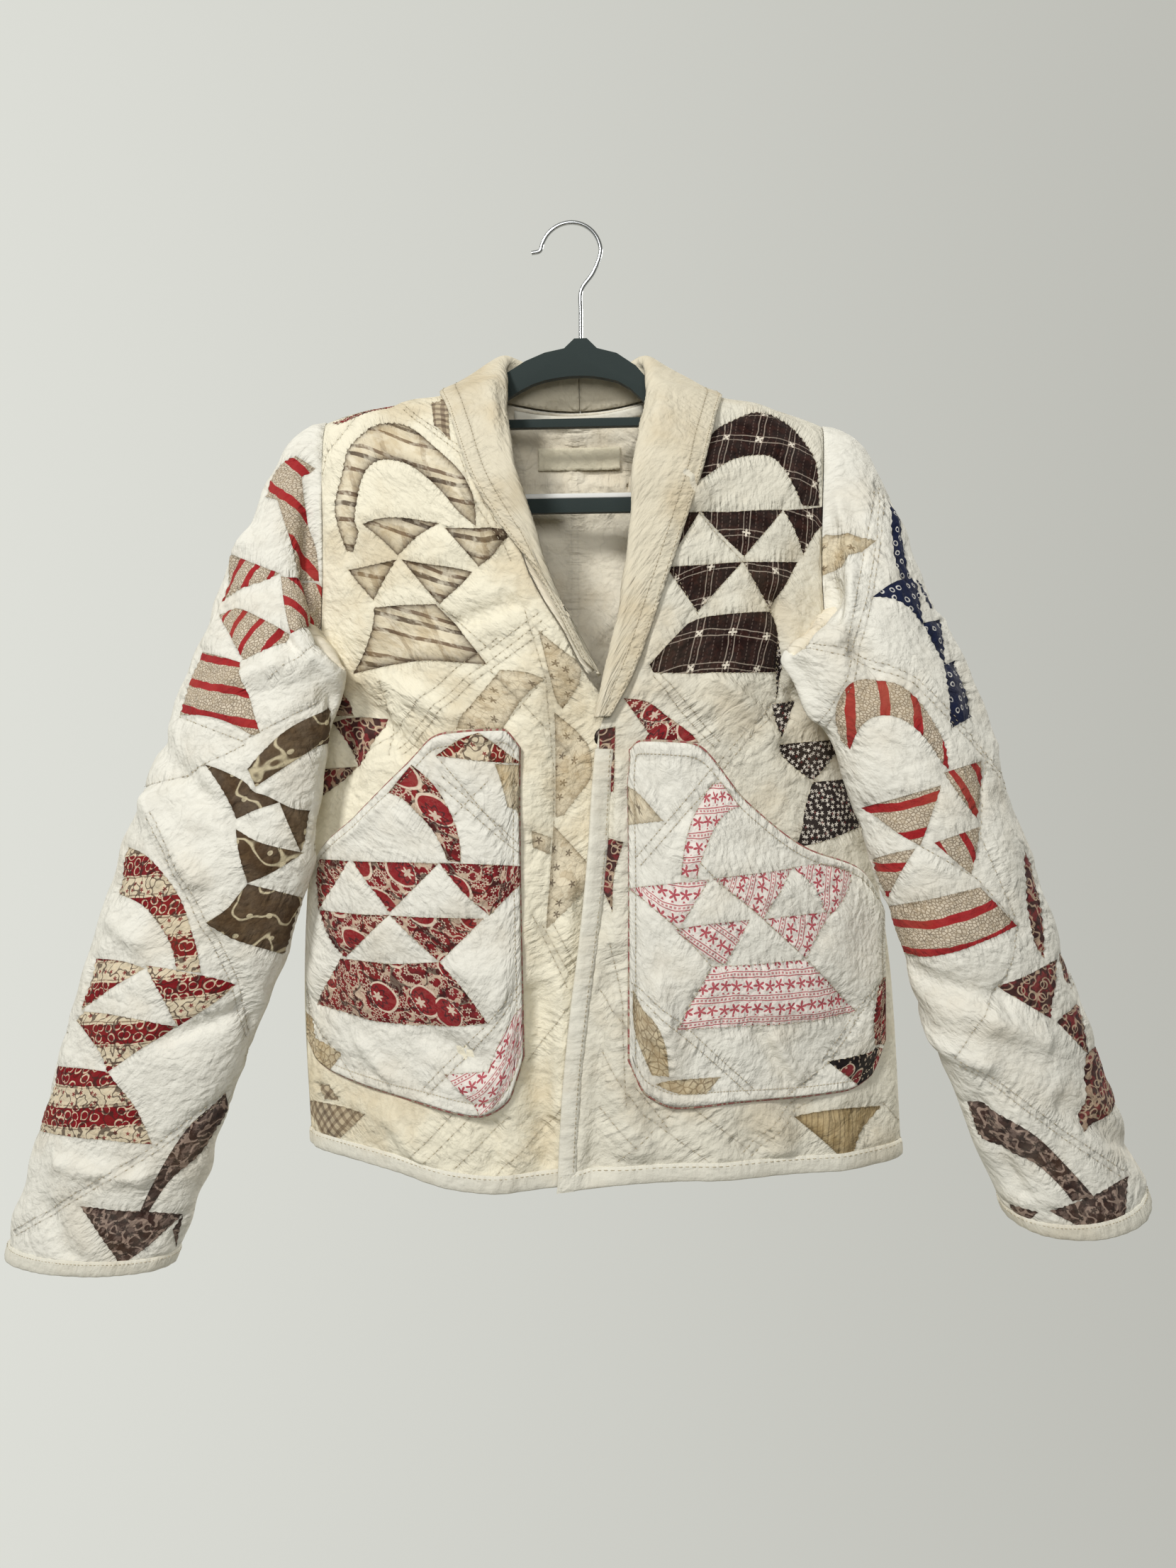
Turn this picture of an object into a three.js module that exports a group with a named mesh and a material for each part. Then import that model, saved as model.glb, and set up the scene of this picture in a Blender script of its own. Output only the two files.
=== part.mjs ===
// A patched quilt coat with a shawl collar and two patch pockets, hanging on a slim hanger.
// Millimetres, +Z up. The origin is the inside of the hook's crown, where a peg carries it.
// The coat's front faces -Y, and +X is the wearer's left, so names say the wearer's left and right.

import * as THREE from "three";

// Driving dimensions: cloth and sewing
const CLOTH = 2.8; // two cottons over thin batting
const PUFF = 1.5; // how far the quilting stands out between its stitched lines
const QUILT_CELLS = 6; // grid cells from one stitched line to the next
const SEAM_GAP = 0.3; // between pieces that are sewn together
const TAPE = 1.0; // folded bias tape
const TAPE_WIDTH = 12;
const COLLAR_CLOTH = 2.4;
const COLLAR_ROLL = 4.2; // outer radius where the collar turns over

// Driving dimensions: body
const HEM_Z = -728;
const HEM_DIP = 15; // the right front hangs a little lower
const HEM_DIP_X = -50;
const HEM_DIP_WIDTH = 80;
const UNDERARM_Z = -392;
const SHOULDER_ROUND = 90; // height over which the shoulder rounds off
const BACK_DEPTH = 36;
const NECK_DROP = 10; // of the back neckline below the neck points
const LAP = 18; // the right front reaches this far under the left one
const LAP_RECESS = 13;

// Half-outlines, each a list of [height, x]
const LEFT_SIDE = [[-745, 258], [-600, 250], [-392, 226], [-300, 236], [-150, 240]];
const RIGHT_SIDE = [[-745, -207], [-600, -214], [-392, -206], [-300, -226], [-150, -232]];
const LEFT_ARMHOLE = [[-392, 226], [-378, 209], [-345, 197], [-270, 192], [-164, 196]];
const RIGHT_ARMHOLE = [[-392, -206], [-378, -199], [-345, -194], [-270, -191], [-153, -195]];
const LEFT_EDGE = [[-745, -3], [-672, 1], [-604, 8], [-551, 15], [-490, 21], [-411, 26], [-384, 36],
  [-359, 43], [-327, 50], [-294, 57], [-245, 62], [-208, 65], [-170, 72], [-132, 79]];
const RIGHT_EDGE = [[-745, 15], [-604, 26], [-490, 39], [-413, 40], [-385, 32], [-362, 16], [-322, -4],
  [-290, -24], [-250, -36], [-206, -50], [-170, -62], [-130, -78]];
const FRONT_DEPTH = [[-745, 74], [-560, 82], [-400, 78], [-280, 68], [-150, 62]];
const SHOULDER_LINE = [[-235, -178], [-195, -153], [-163, -143.5], [-98, -134], [-60, -124], [0, -108],
  [60, -126], [115, -141], [145, -146], [177, -156], [196, -164], [235, -190]]; // [x, height]
const TIP_X = { right: -195, left: 196 };

// Folds that show from a step away: [x, height] at both ends, half-width, and how far they stand out
const FRONT_FOLDS = [
  { from: [40, -440], to: [22, -725], width: 8, out: -6 },
  { from: [150, -380], to: [205, -440], width: 16, out: -6 },
  { from: [110, -690], to: [120, -740], width: 22, out: 5 },
  { from: [200, -690], to: [212, -740], width: 18, out: 5 },
  { from: [-95, -690], to: [-90, -745], width: 24, out: 5 },
  { from: [-120, -340], to: [-175, -430], width: 18, out: -7 },
];
const BACK_FOLDS = [
  { from: [-120, -330], to: [-150, -735], width: 30, out: 7 },
  { from: [20, -400], to: [25, -735], width: 34, out: 8 },
  { from: [150, -330], to: [175, -735], width: 30, out: 7 },
  { from: [-60, -470], to: [-66, -735], width: 22, out: -5 },
  { from: [95, -470], to: [104, -735], width: 22, out: -5 },
];

// Sleeves hang from the armholes. top is the outer silhouette and under the inner one.
const SLEEVES = {
  right: {
    side: -1,
    top: [[-277, -14, -301], [-313, -16, -386], [-350, -16, -486], [-400, -14, -638], [-457, -6, -822]],
    under: [[-166, -57, -360], [-184, -56, -440], [-194, -54, -516], [-246, -46, -650], [-310, -26, -816]],
    frontDepth: [30, 38, 42, 38, 30],
    backDepth: [8, 9, 14, 26, 26],
    cuffDrop: 0.1,
  },
  left: {
    side: 1,
    top: [[276, -14, -305], [303, -16, -374], [332, -16, -450], [386, -10, -604], [443, 0, -758]],
    under: [[167, -58, -352], [196, -57, -410], [222, -52, -486], [280, -40, -645], [331, -14, -763]],
    frontDepth: [34, 40, 44, 42, 38],
    backDepth: [8, 12, 20, 32, 34],
    cuffDrop: 0.42,
  },
};
const CAP_SHARE = 0.25; // share of the sleeve's length that turns from the armhole to the hang
const SLEEVE_RINGS = 27;
const CAP_RINGS = 9;

// Pockets: the sewn outline as [x, height] along the bottom and along the mouth
const POCKETS = {
  right: {
    bottom: [[-203, -640], [-192, -657], [-170, -665], [-106, -677], [-62, -684], [-42, -674], [-30, -640]],
    mouth: [[-203, -560], [-190, -503], [-149, -467], [-106, -427], [-84, -407], [-40, -404], [-30, -416]],
  },
  left: {
    bottom: [[49, -640], [60, -663], [84, -674], [130, -671], [205, -669], [226, -660], [238, -636]],
    mouth: [[49, -418], [56, -412], [90, -414], [127, -456], [169, -490], [212, -507], [238, -540]],
  },
};
const POCKET_CLOTH = 2.6;
const POCKET_GAPE = 14; // how far the mouth hangs open

// Collar, from the centre back to the lapel's foot: seam, roll and edge as [x, y, height]
// A null y is taken from the coat's surface, and out is the way the collar falls.
const COLLARS = {
  right: [
    { seam: [5, null, -141], roll: [5, 17, -108], edge: [5, null, -150], out: [0, 1, 0.1] },
    { seam: [-36, null, -139], roll: [-30, 14, -106], edge: [-46, null, -150], out: [-0.1, 1, 0.2] },
    { seam: [-78, 0, -130.2], roll: [-49, 2, -104], edge: [-100, 6, -128.5], out: [-0.5, 0.2, 0.85] },
    { seam: [-66, null, -162], roll: [-48, -22, -132], edge: [-88, null, -163], out: [-0.35, -0.8, 0.4] },
    { seam: [-50, null, -206], roll: [-37, null, -200], edge: [-70, null, -212], out: [0, -1, 0] },
    { seam: [-36, null, -250], roll: [-23, null, -246], edge: [-47, null, -250], out: [0, -1, 0] },
    { seam: [-23, null, -291], roll: [-9, null, -290], edge: [-19, null, -288], out: [0, -1, 0] },
    { seam: [16, null, -362], roll: [28, null, -362], edge: [14, null, -350], out: [0, -1, 0] },
  ],
  left: [
    { seam: [5.6, null, -141], roll: [5.6, 17, -108], edge: [5.6, null, -150], out: [0, 1, 0.1] },
    { seam: [44, null, -139], roll: [40, 14, -108], edge: [58, null, -152], out: [0.1, 1, 0.2] },
    { seam: [79, 0, -132.2], roll: [56, 2, -107], edge: [112, 6, -135.5], out: [0.5, 0.2, 0.85] },
    { seam: [72, null, -168], roll: [60, -22, -140], edge: [112, null, -170], out: [0.35, -0.8, 0.4] },
    { seam: [65, null, -208], roll: [51, null, -206], edge: [103, null, -208], out: [0, -1, 0] },
    { seam: [62, null, -245], roll: [49, null, -244], edge: [92, null, -243], out: [0, -1, 0] },
    { seam: [57, null, -294], roll: [44, null, -293], edge: [75, null, -296], out: [0, -1, 0] },
    { seam: [43, null, -359], roll: [31, null, -359], edge: [53, null, -360], out: [0, -1, 0] },
    { seam: [33, null, -394], roll: [23, null, -394], edge: [36, null, -393], out: [0, -1, 0] },
  ],
};
const COLLAR_STEPS = 24;
const COLLAR_REST = PUFF + 2.1; // clearance under the fall
const COLLAR_SEAM_GAP = 1.2;

// Neck tape, label and snap
const NECK_TAPE = { height: 8, thick: 3.2, half: 52 };
const LABEL = { x: [-29, 38], z: [-186, -168], thick: 0.8 };
const SNAP = { x: 30, z: -408, radius: 7.5, height: 2.2 };

// Hanger
const HANGER_THICK = 6;
const HUB = { x: 8, top: -91, neck: 5, foot: 13, height: 9 };
const ARM_DEPTH = 23; // of the arm at the hub; it narrows to ARM_TIP_DEPTH
const ARM_TIP_DEPTH = 15;
const ARM_TOP = [[-190, -160], [-150, -146.6], [-98, -139.8], [-78, -137.4], [-68, -132], [-50, -116.5],
  [-20, -101.5], [8, -97.5], [36, -103], [50, -112], [69, -133.5], [79, -139.6], [115, -146.8],
  [160, -156.8], [206, -176]]; // [x, height]
const TIE_BAR = { top: -154, depth: 6.5 };
const TROUSER_BAR = { top: -217, depth: 11, left: 199, right: -183 };
const GRIP_STRIP = { height: 4, depth: 5, half: 165 };
const WIRE = 1.7; // radius of the hook's wire
const HOOK_RADIUS = 22; // inside

// Colours read from the cloth and the hanger
const MUSLIN = 0xdcd5c2;
const OLD_MUSLIN = 0xcdc3a8;
const TAPE_COLOUR = 0xd5ccb2;
const VELVET = 0x23312c;
const STEEL = 0xb9bcbc;
const SNAP_COLOUR = 0x2b2724;
const GRIP_COLOUR = 0xd9d8d4;

// Curves and small maths

const lerp = THREE.MathUtils.lerp;
const clamp = THREE.MathUtils.clamp;
const smooth = (x, low, high) => THREE.MathUtils.smoothstep(x, low, high);
const bell = (distance, width) => Math.exp(-((distance / width) ** 2));
const point = (values) => new THREE.Vector3(...values);

// A smooth function through [input, output] stations, with no overshoot.
function through(stations) {
  const slopes = stations.map((station, i) => {
    if (i === 0 || i === stations.length - 1) return null;
    const before = (station[1] - stations[i - 1][1]) / (station[0] - stations[i - 1][0]);
    const after = (stations[i + 1][1] - station[1]) / (stations[i + 1][0] - station[0]);
    return before * after <= 0 ? 0 : (2 * before * after) / (before + after);
  });
  return (x) => {
    const t = clamp(x, stations[0][0], stations.at(-1)[0]);
    const i = Math.min(stations.findLastIndex((station) => station[0] <= t), stations.length - 2);
    const [x0, y0] = stations[i];
    const [x1, y1] = stations[i + 1];
    const chord = (y1 - y0) / (x1 - x0);
    const m0 = slopes[i] ?? chord;
    const m1 = slopes[i + 1] ?? chord;
    const u = (t - x0) / (x1 - x0);
    const w = x1 - x0;
    return y0 * (2 * u ** 3 - 3 * u ** 2 + 1) + w * m0 * (u ** 3 - 2 * u ** 2 + u)
      + y1 * (3 * u ** 2 - 2 * u ** 3) + w * m1 * (u ** 3 - u ** 2);
  };
}

// How far a set of folds moves the cloth out at [x, z].
function foldsAt(folds, x, z) {
  return folds.reduce((sum, fold) => {
    const [ax, az] = fold.from;
    const [bx, bz] = fold.to;
    const length2 = (bx - ax) ** 2 + (bz - az) ** 2;
    const t = clamp(((x - ax) * (bx - ax) + (z - az) * (bz - az)) / length2, 0, 1);
    const away = Math.hypot(x - lerp(ax, bx, t), z - lerp(az, bz, t));
    return sum + fold.out * bell(away, fold.width);
  }, 0);
}

// Walls of cloth

// A closed wall between two grids of points with the same rows and columns.
// A tube joins its last column to its first, and has no side rims.
// turn says where a four-sided cell is split along its other diagonal.
function wall(outer, inner, { tube = false, turn = () => false, innerTurn = () => false } = {}) {
  const rows = outer.length;
  const columns = outer[0].length;
  const positions = [];
  for (const grid of [outer, inner]) grid.flat().forEach((p) => positions.push(p.x, p.y, p.z));
  const at = (layer, row, column) => (layer * rows + row) * columns + (column % columns);
  const faces = [];
  const quad = (a, b, c, d, other) => faces.push(...(other ? [a, b, d, b, c, d] : [a, b, c, a, c, d]));
  const last = tube ? columns : columns - 1;
  for (let row = 0; row < rows - 1; row++) {
    for (let column = 0; column < last; column++) {
      const next = (column + 1) % columns;
      quad(at(0, row, column), at(0, row, next), at(0, row + 1, next), at(0, row + 1, column), turn(row, column));
      quad(at(1, row, column), at(1, row + 1, column), at(1, row + 1, next), at(1, row, next),
        innerTurn(row, column));
    }
  }
  for (let column = 0; column < last; column++) {
    const next = (column + 1) % columns;
    quad(at(0, 0, column), at(1, 0, column), at(1, 0, next), at(0, 0, next), false);
    quad(at(0, rows - 1, next), at(1, rows - 1, next), at(1, rows - 1, column), at(0, rows - 1, column), false);
  }
  if (!tube) {
    for (let row = 0; row < rows - 1; row++) {
      quad(at(0, row + 1, 0), at(1, row + 1, 0), at(1, row, 0), at(0, row, 0), false);
      const end = columns - 1;
      quad(at(0, row, end), at(1, row, end), at(1, row + 1, end), at(0, row + 1, end), false);
    }
  }
  const geometry = new THREE.BufferGeometry();
  geometry.setAttribute("position", new THREE.Float32BufferAttribute(positions, 3));
  geometry.setIndex(faces);
  return facingOut(geometry);
}

// Turns a closed mesh's faces round if its volume comes out negative.
function facingOut(geometry) {
  const position = geometry.getAttribute("position");
  const index = geometry.getIndex().array;
  const [a, b, c] = [new THREE.Vector3(), new THREE.Vector3(), new THREE.Vector3()];
  let volume = 0;
  for (let i = 0; i < index.length; i += 3) {
    a.fromBufferAttribute(position, index[i]);
    b.fromBufferAttribute(position, index[i + 1]);
    c.fromBufferAttribute(position, index[i + 2]);
    volume += a.dot(b.cross(c));
  }
  if (volume < 0) {
    for (let i = 0; i < index.length; i += 3) [index[i + 1], index[i + 2]] = [index[i + 2], index[i + 1]];
  }
  geometry.computeVertexNormals();
  return geometry;
}

// Unit normals of a grid of points, on the side that outward says.
function normalsOf(grid, outward, tube = false) {
  const rows = grid.length;
  const columns = grid[0].length;
  return grid.map((line, row) => line.map((here, column) => {
    const left = tube ? (column + columns - 1) % columns : Math.max(column - 1, 0);
    const right = tube ? (column + 1) % columns : Math.min(column + 1, columns - 1);
    const along = grid[row][right].clone().sub(grid[row][left]);
    const upward = grid[Math.min(row + 1, rows - 1)][column].clone().sub(grid[Math.max(row - 1, 0)][column]);
    const normal = along.cross(upward).normalize();
    return normal.dot(outward(here, row, column)) < 0 ? normal.negate() : normal;
  }));
}

const moved = (grid, normals, distance) => grid.map((line, row) => line.map((p, column) =>
  p.clone().addScaledVector(normals[row][column],
    typeof distance === "function" ? distance(row, column) : distance)));

const cut = (grid, rows, columns) => grid.slice(rows[0], rows[1] + 1)
  .map((line) => line.slice(columns[0], columns[1] + 1));

// The point on a row of points where one coordinate has the given value.
function onLine(points, key, value) {
  const i = clamp(points.findLastIndex((p) => p[key] <= value), 0, points.length - 2);
  const share = (value - points[i][key]) / (points[i + 1][key] - points[i][key]);
  return points[i].clone().lerp(points[i + 1], share);
}

// Quilting: stitched lines run both ways across the grid's diagonals, and the cloth puffs between them.
// The rows and columns at a panel's edge stay flat, because the seam holds them down.
function quilting(rows, columns, { flat, tube = false }) {
  const steps = (n) => Math.min(n % QUILT_CELLS, QUILT_CELLS - (n % QUILT_CELLS));
  return (row, column) => {
    const wide = tube ? Infinity : Math.min(column, columns - 1 - column);
    if (row < flat.start || row > rows - 1 - flat.end || wide < flat.side) return 0;
    const away = Math.min(steps(row + column), steps(row - column + QUILT_CELLS * columns));
    return PUFF * Math.min(1, away * 0.75);
  };
}

// Cells are split along their lower diagonal, so a stitched line stays a valley.
const valleys = (relief) => (row, column) =>
  relief(row, column + 1) + relief(row + 1, column) < relief(row, column) + relief(row + 1, column + 1);

// The coat's surface

const leftSide = through(LEFT_SIDE);
const rightSide = through(RIGHT_SIDE);
const frontDepth = through(FRONT_DEPTH);
const shoulderLine = through(SHOULDER_LINE);
const leftEdge = through(LEFT_EDGE);
const rightEdge = through(RIGHT_EDGE);
const hemLine = (x) => HEM_Z - HEM_DIP * bell(x - HEM_DIP_X, HEM_DIP_WIDTH);

// Share of the body's depth at [x, z]: flat in the middle, with a small round at the sides.
function fullness(x, z) {
  const middle = (leftSide(z) + rightSide(z)) / 2;
  const half = (leftSide(z) - rightSide(z)) / 2;
  const sine = clamp((x - middle) / half, -1, 1);
  const cosine = Math.sqrt(1 - sine * sine);
  const below = clamp((shoulderLine(x) - z) / SHOULDER_ROUND, 0, 1);
  return { side: cosine, top: Math.sqrt(1 - (1 - below) ** 2) };
}

function frontY(x, z) {
  const { side, top } = fullness(x, z);
  const folds = foldsAt(FRONT_FOLDS, x, z) * Math.min(1, side * 3);
  return -(frontDepth(z) * (side + side * side) * 0.5 + folds) * top;
}

function backY(x, z) {
  const { side, top } = fullness(x, z);
  return (BACK_DEPTH * side + foldsAt(BACK_FOLDS, x, z) * Math.min(1, side * 3)) * top;
}

// The right front drops back where it goes under the left one.
const rightFrontY = (x, z) => frontY(x, z) + LAP_RECESS * smooth(x - leftEdge(z), -55, -10);

// Rows run from the hem to the shoulder, close together at the hem tape and at the shoulder's round.
const SIDE_ROWS = 14;
const ARM_SHARES = [0.1, 0.2, 0.3, 0.4, 0.5, 0.6, 0.7, 0.79, 0.87, 0.935, 0.975, 1];
const UNDERARM_ROW = SIDE_ROWS;
const ROWS = SIDE_ROWS + ARM_SHARES.length + 1;

// A side's outer edge, row by row: up the side seam, then round the armhole.
function outerEdge(name) {
  const sideAt = name === "left" ? leftSide : rightSide;
  const armhole = through(name === "left" ? LEFT_ARMHOLE : RIGHT_ARMHOLE);
  const tip = shoulderLine(TIP_X[name]);
  const hem = hemLine(sideAt(HEM_Z));
  const edge = [];
  for (let row = 0; row <= SIDE_ROWS; row++) {
    const above = row === 0 ? 0 : lerp(TAPE_WIDTH, UNDERARM_Z - hem, (row - 1) / (SIDE_ROWS - 1));
    edge.push({ x: sideAt(hem + above), z: hem + above });
  }
  for (const share of ARM_SHARES) {
    const z = lerp(UNDERARM_Z, tip, share);
    edge.push({ x: armhole(z), z });
  }
  return edge;
}
const OUTER = { left: outerEdge("left"), right: outerEdge("right") };

// The neck points divide the back's top edge.
const BACK_COLUMNS = 24;
const NECK_COLUMN = 8;
const backSpacing = (share) => 0.6 * share + 0.2 * (1 - Math.cos(Math.PI * share));
const neckX = {
  right: lerp(TIP_X.right, TIP_X.left, backSpacing(NECK_COLUMN / BACK_COLUMNS)),
  left: lerp(TIP_X.right, TIP_X.left, backSpacing(1 - NECK_COLUMN / BACK_COLUMNS)),
};
const rowShare = (name, row) => (OUTER[name][row].z - OUTER[name][0].z)
  / (OUTER[name].at(-1).z - OUTER[name][0].z);

// The back neckline's height.
function neckLine(x) {
  const share = clamp((x - neckX.right) / (neckX.left - neckX.right), 0, 1);
  return lerp(shoulderLine(neckX.right), shoulderLine(neckX.left), share) - NECK_DROP * 4 * share * (1 - share);
}

// A front panel's points, from its front edge to its side.
const FRONT_COLUMNS = 15;
const FIRST_COLUMNS = [0, 12, 24]; // the tape's width, then the fold beside it
function frontGrid(name, surface, edgeAt) {
  const hem = hemLine(edgeAt(HEM_Z));
  const neck = shoulderLine(neckX[name]);
  return OUTER[name].map((outer, row) => {
    const share = rowShare(name, row);
    const last = row === ROWS - 1;
    const innerZ = lerp(hem, neck, share);
    const innerX = last ? neckX[name] : edgeAt(innerZ);
    const width = Math.abs(outer.x - innerX);
    const line = [];
    for (let column = 0; column <= FRONT_COLUMNS; column++) {
      const rest = (column - 2) / (FRONT_COLUMNS - 2);
      const start = FIRST_COLUMNS[2] / width;
      const across = column < 3 ? FIRST_COLUMNS[column] / width
        : start + (1 - start) * (0.5 * rest + 0.5 * Math.sin((rest * Math.PI) / 2));
      const x = lerp(innerX, outer.x, across);
      const level = lerp(innerZ, outer.z, across);
      const dip = hemLine(x) - lerp(hem, hemLine(OUTER[name][0].x), across);
      const z = last ? shoulderLine(x) : level + dip * (1 - share);
      const atSide = column === FRONT_COLUMNS && row <= UNDERARM_ROW;
      line.push(new THREE.Vector3(x, atSide || last ? -SEAM_GAP / 2 : surface(x, z), z));
    }
    return line;
  });
}

// The back panel's points, from the wearer's right to the left.
function backGrid() {
  return OUTER.right.map((rightOuter, row) => {
    const leftOuter = OUTER.left[row];
    const share = rowShare("right", row);
    const last = row === ROWS - 1;
    const line = [];
    for (let column = 0; column <= BACK_COLUMNS; column++) {
      const across = backSpacing(column / BACK_COLUMNS);
      const x = lerp(rightOuter.x, leftOuter.x, across);
      const topX = lerp(TIP_X.right, TIP_X.left, across);
      const inNeck = column > NECK_COLUMN && column < BACK_COLUMNS - NECK_COLUMN;
      const top = inNeck ? neckLine(topX) : shoulderLine(topX);
      const level = lerp(rightOuter.z, leftOuter.z, across);
      const tipLevel = lerp(OUTER.right.at(-1).z, OUTER.left.at(-1).z, across);
      const z = level + (top - tipLevel) * share ** 3;
      const edge = column === 0 || column === BACK_COLUMNS;
      const sewn = (edge && row <= UNDERARM_ROW) || (last && !inNeck);
      line.push(new THREE.Vector3(x, sewn ? SEAM_GAP / 2 : backY(x, z), z));
    }
    return line;
  });
}

// Normals of a body panel. At the side and shoulder seams they lie in the seam's plane.
function panelNormals(grid, faceY, sideColumns) {
  const normals = normalsOf(grid, () => new THREE.Vector3(0, faceY, 0));
  grid.forEach((line, row) => line.forEach((p, column) => {
    const normal = normals[row][column];
    if (sideColumns.includes(column) && row <= UNDERARM_ROW) normal.set(Math.sign(p.x), 0, 0);
    const onShoulder = row === ROWS - 1 && Math.abs(p.y) < SEAM_GAP;
    if (onShoulder) normal.set(normal.x * 0.3, 0, Math.max(Math.abs(normal.z), 0.2)).normalize();
  }));
  return normals;
}

// Materials and the group

const coat = new THREE.Group();
const material = (color, roughness, metalness = 0) =>
  new THREE.MeshStandardMaterial({ color, roughness, metalness });
const muslin = material(MUSLIN, 0.95);
const oldMuslin = material(OLD_MUSLIN, 0.95);
const tapeCotton = material(TAPE_COLOUR, 0.95);

function add(name, geometry, finish) {
  const mesh = new THREE.Mesh(geometry, finish);
  mesh.name = name;
  coat.add(mesh);
}

// Lies on a panel: a strip of its points, moved out clear of it. gap holds its first row off what is below.
function tapeOn(name, panel, rows, columns, { tube = false, gap = 0 } = {}) {
  const strips = [SEAM_GAP, SEAM_GAP + TAPE].map((out) => cut(moved(panel.grid, panel.normals, out), rows, columns));
  if (gap > 0) {
    strips.forEach((strip) => strip[0].forEach((p, column) =>
      p.lerp(strip[1][column], gap / p.distanceTo(strip[1][column]))));
  }
  add(name, wall(strips[1], strips[0], { tube }), tapeCotton);
}

// Body panels

function bodyPanel(name, grid, faceY, sideColumns, finish) {
  const normals = panelNormals(grid, faceY, sideColumns);
  const relief = quilting(grid.length, grid[0].length, { flat: { start: 2, end: 2, side: 2 } });
  add(name, wall(moved(grid, normals, relief), moved(grid, normals, -CLOTH), { turn: valleys(relief) }),
    finish);
  return { grid, normals };
}
const panels = {
  back: bodyPanel("back", backGrid(), 1, [0, BACK_COLUMNS], muslin),
  left: bodyPanel("front_left", frontGrid("left", frontY, leftEdge), -1, [FRONT_COLUMNS], muslin),
  right: bodyPanel("front_right", frontGrid("right", rightFrontY, rightEdge), -1, [FRONT_COLUMNS], oldMuslin),
};

// Hem tape, in one strip from the left front round the back to the right front.
function hemTape() {
  const strip = (panel, flip) => {
    const lines = [SEAM_GAP, SEAM_GAP + TAPE].map((out) => cut(moved(panel.grid, panel.normals, out), [0, 1],
      [0, panel.grid[0].length - 1]));
    return flip ? lines.map((grid) => grid.map((line) => line.toReversed())) : lines;
  };
  const left = strip(panels.left, false);
  const back = strip(panels.back, true);
  const right = strip(panels.right, true);
  const joined = [0, 1].map((layer) => [0, 1].map((row) =>
    [...left[layer][row].slice(0, -1), ...back[layer][row].slice(0, -1), ...right[layer][row]]));
  const turn = (row, column) => column >= FRONT_COLUMNS;
  add("hem_tape", wall(joined[1], joined[0], { turn, innerTurn: turn }), tapeCotton);
}
hemTape();

// The left front's edge tape runs from the hem tape up to the collar's foot.
const collarFootRow = panels.left.grid.findLastIndex((line) => line[0].z < -418);
tapeOn("front_edge_tape", panels.left, [1, collarFootRow], [0, 1], { gap: SEAM_GAP });

// Sleeves

// The armhole, from the shoulder tip down the front to the underarm and up the back.
function armhole(name) {
  const column = FRONT_COLUMNS;
  const front = panels[name].grid.slice(UNDERARM_ROW).map((line) => line[column]).toReversed();
  const backColumn = name === "left" ? BACK_COLUMNS : 0;
  const back = panels.back.grid.slice(UNDERARM_ROW + 1, -1).map((line) => line[backColumn]);
  return [...front, ...back];
}

function sleeve(name) {
  const { side, top, under, frontDepth: fronts, backDepth: backs, cuffDrop } = SLEEVES[name];
  const hole = armhole(name).map((p) => new THREE.Vector3(p.x + side * 0.5, p.y, p.z));
  const around = hole.length;
  const topCurve = new THREE.CatmullRomCurve3(top.map(point));
  const underCurve = new THREE.CatmullRomCurve3(under.map(point));
  const depthAt = (depths, s) => through(depths.map((depth, i) => [i / (depths.length - 1), depth]))(s);
  const angles = hole.map((p, k) => (2 * Math.PI * k) / around);
  const sectionAt = (s) => {
    const upper = topCurve.getPoint(s);
    const lower = underCurve.getPoint(s);
    const across = upper.clone().sub(lower).multiplyScalar(0.5);
    const middle = upper.clone().add(lower).multiplyScalar(0.5);
    const forward = new THREE.Vector3(side * 0.12 * (1 - s), -1, -cuffDrop * smooth(s, 0.5, 1)).normalize();
    return angles.map((angle) => {
      const depth = Math.sin(angle) > 0 ? depthAt(fronts, s) : depthAt(backs, s);
      return middle.clone().addScaledVector(across, Math.cos(angle))
        .addScaledVector(forward, Math.sin(angle) * depth);
    });
  };
  const first = sectionAt(0);
  const second = sectionAt(0.05);
  const bend = hole.map((start, k) => {
    const underShare = 0.5 - 0.5 * Math.cos(angles[k]);
    const leave = lerp(36, 12, underShare);
    const arrive = first[k].clone().sub(second[k]).normalize().multiplyScalar(lerp(60, 14, underShare));
    return new THREE.CubicBezierCurve3(start, start.clone().add(new THREE.Vector3(side * leave, 0, 0)),
      first[k].clone().add(arrive), first[k]);
  });
  const grid = [];
  for (let ring = 0; ring < CAP_RINGS; ring++) {
    const share = (ring / CAP_RINGS) ** 1.15;
    grid.push(bend.map((curve) => curve.getPoint(share)));
  }
  const hangRings = SLEEVE_RINGS - CAP_RINGS;
  const tapeShare = TAPE_WIDTH / topCurve.getLength();
  for (let ring = 0; ring < hangRings; ring++) {
    grid.push(sectionAt((1 - tapeShare) * (ring / (hangRings - 1))));
  }
  grid.push(sectionAt(1));
  const centres = grid.map((line) => line.reduce((sum, p) => sum.add(p), new THREE.Vector3())
    .divideScalar(around));
  const normals = normalsOf(grid, (p, row) => p.clone().sub(centres[row]), true);
  const holeCentre = centres[0];
  normals[0] = hole.map((p) => new THREE.Vector3(0, p.y - holeCentre.y, (p.z - holeCentre.z) * 0.35).normalize());
  const relief = quilting(grid.length, around, { flat: { start: 2, end: 2, side: 0 }, tube: true });
  const turn = valleys((row, column) => relief(row, column % around));
  add(`sleeve_${name}`, wall(moved(grid, normals, relief), moved(grid, normals, -CLOTH), { tube: true, turn }),
    muslin);
  tapeOn(`cuff_tape_${name}`, { grid, normals }, [grid.length - 2, grid.length - 1], [0, around - 1], { tube: true });
}
sleeve("right");
sleeve("left");

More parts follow.
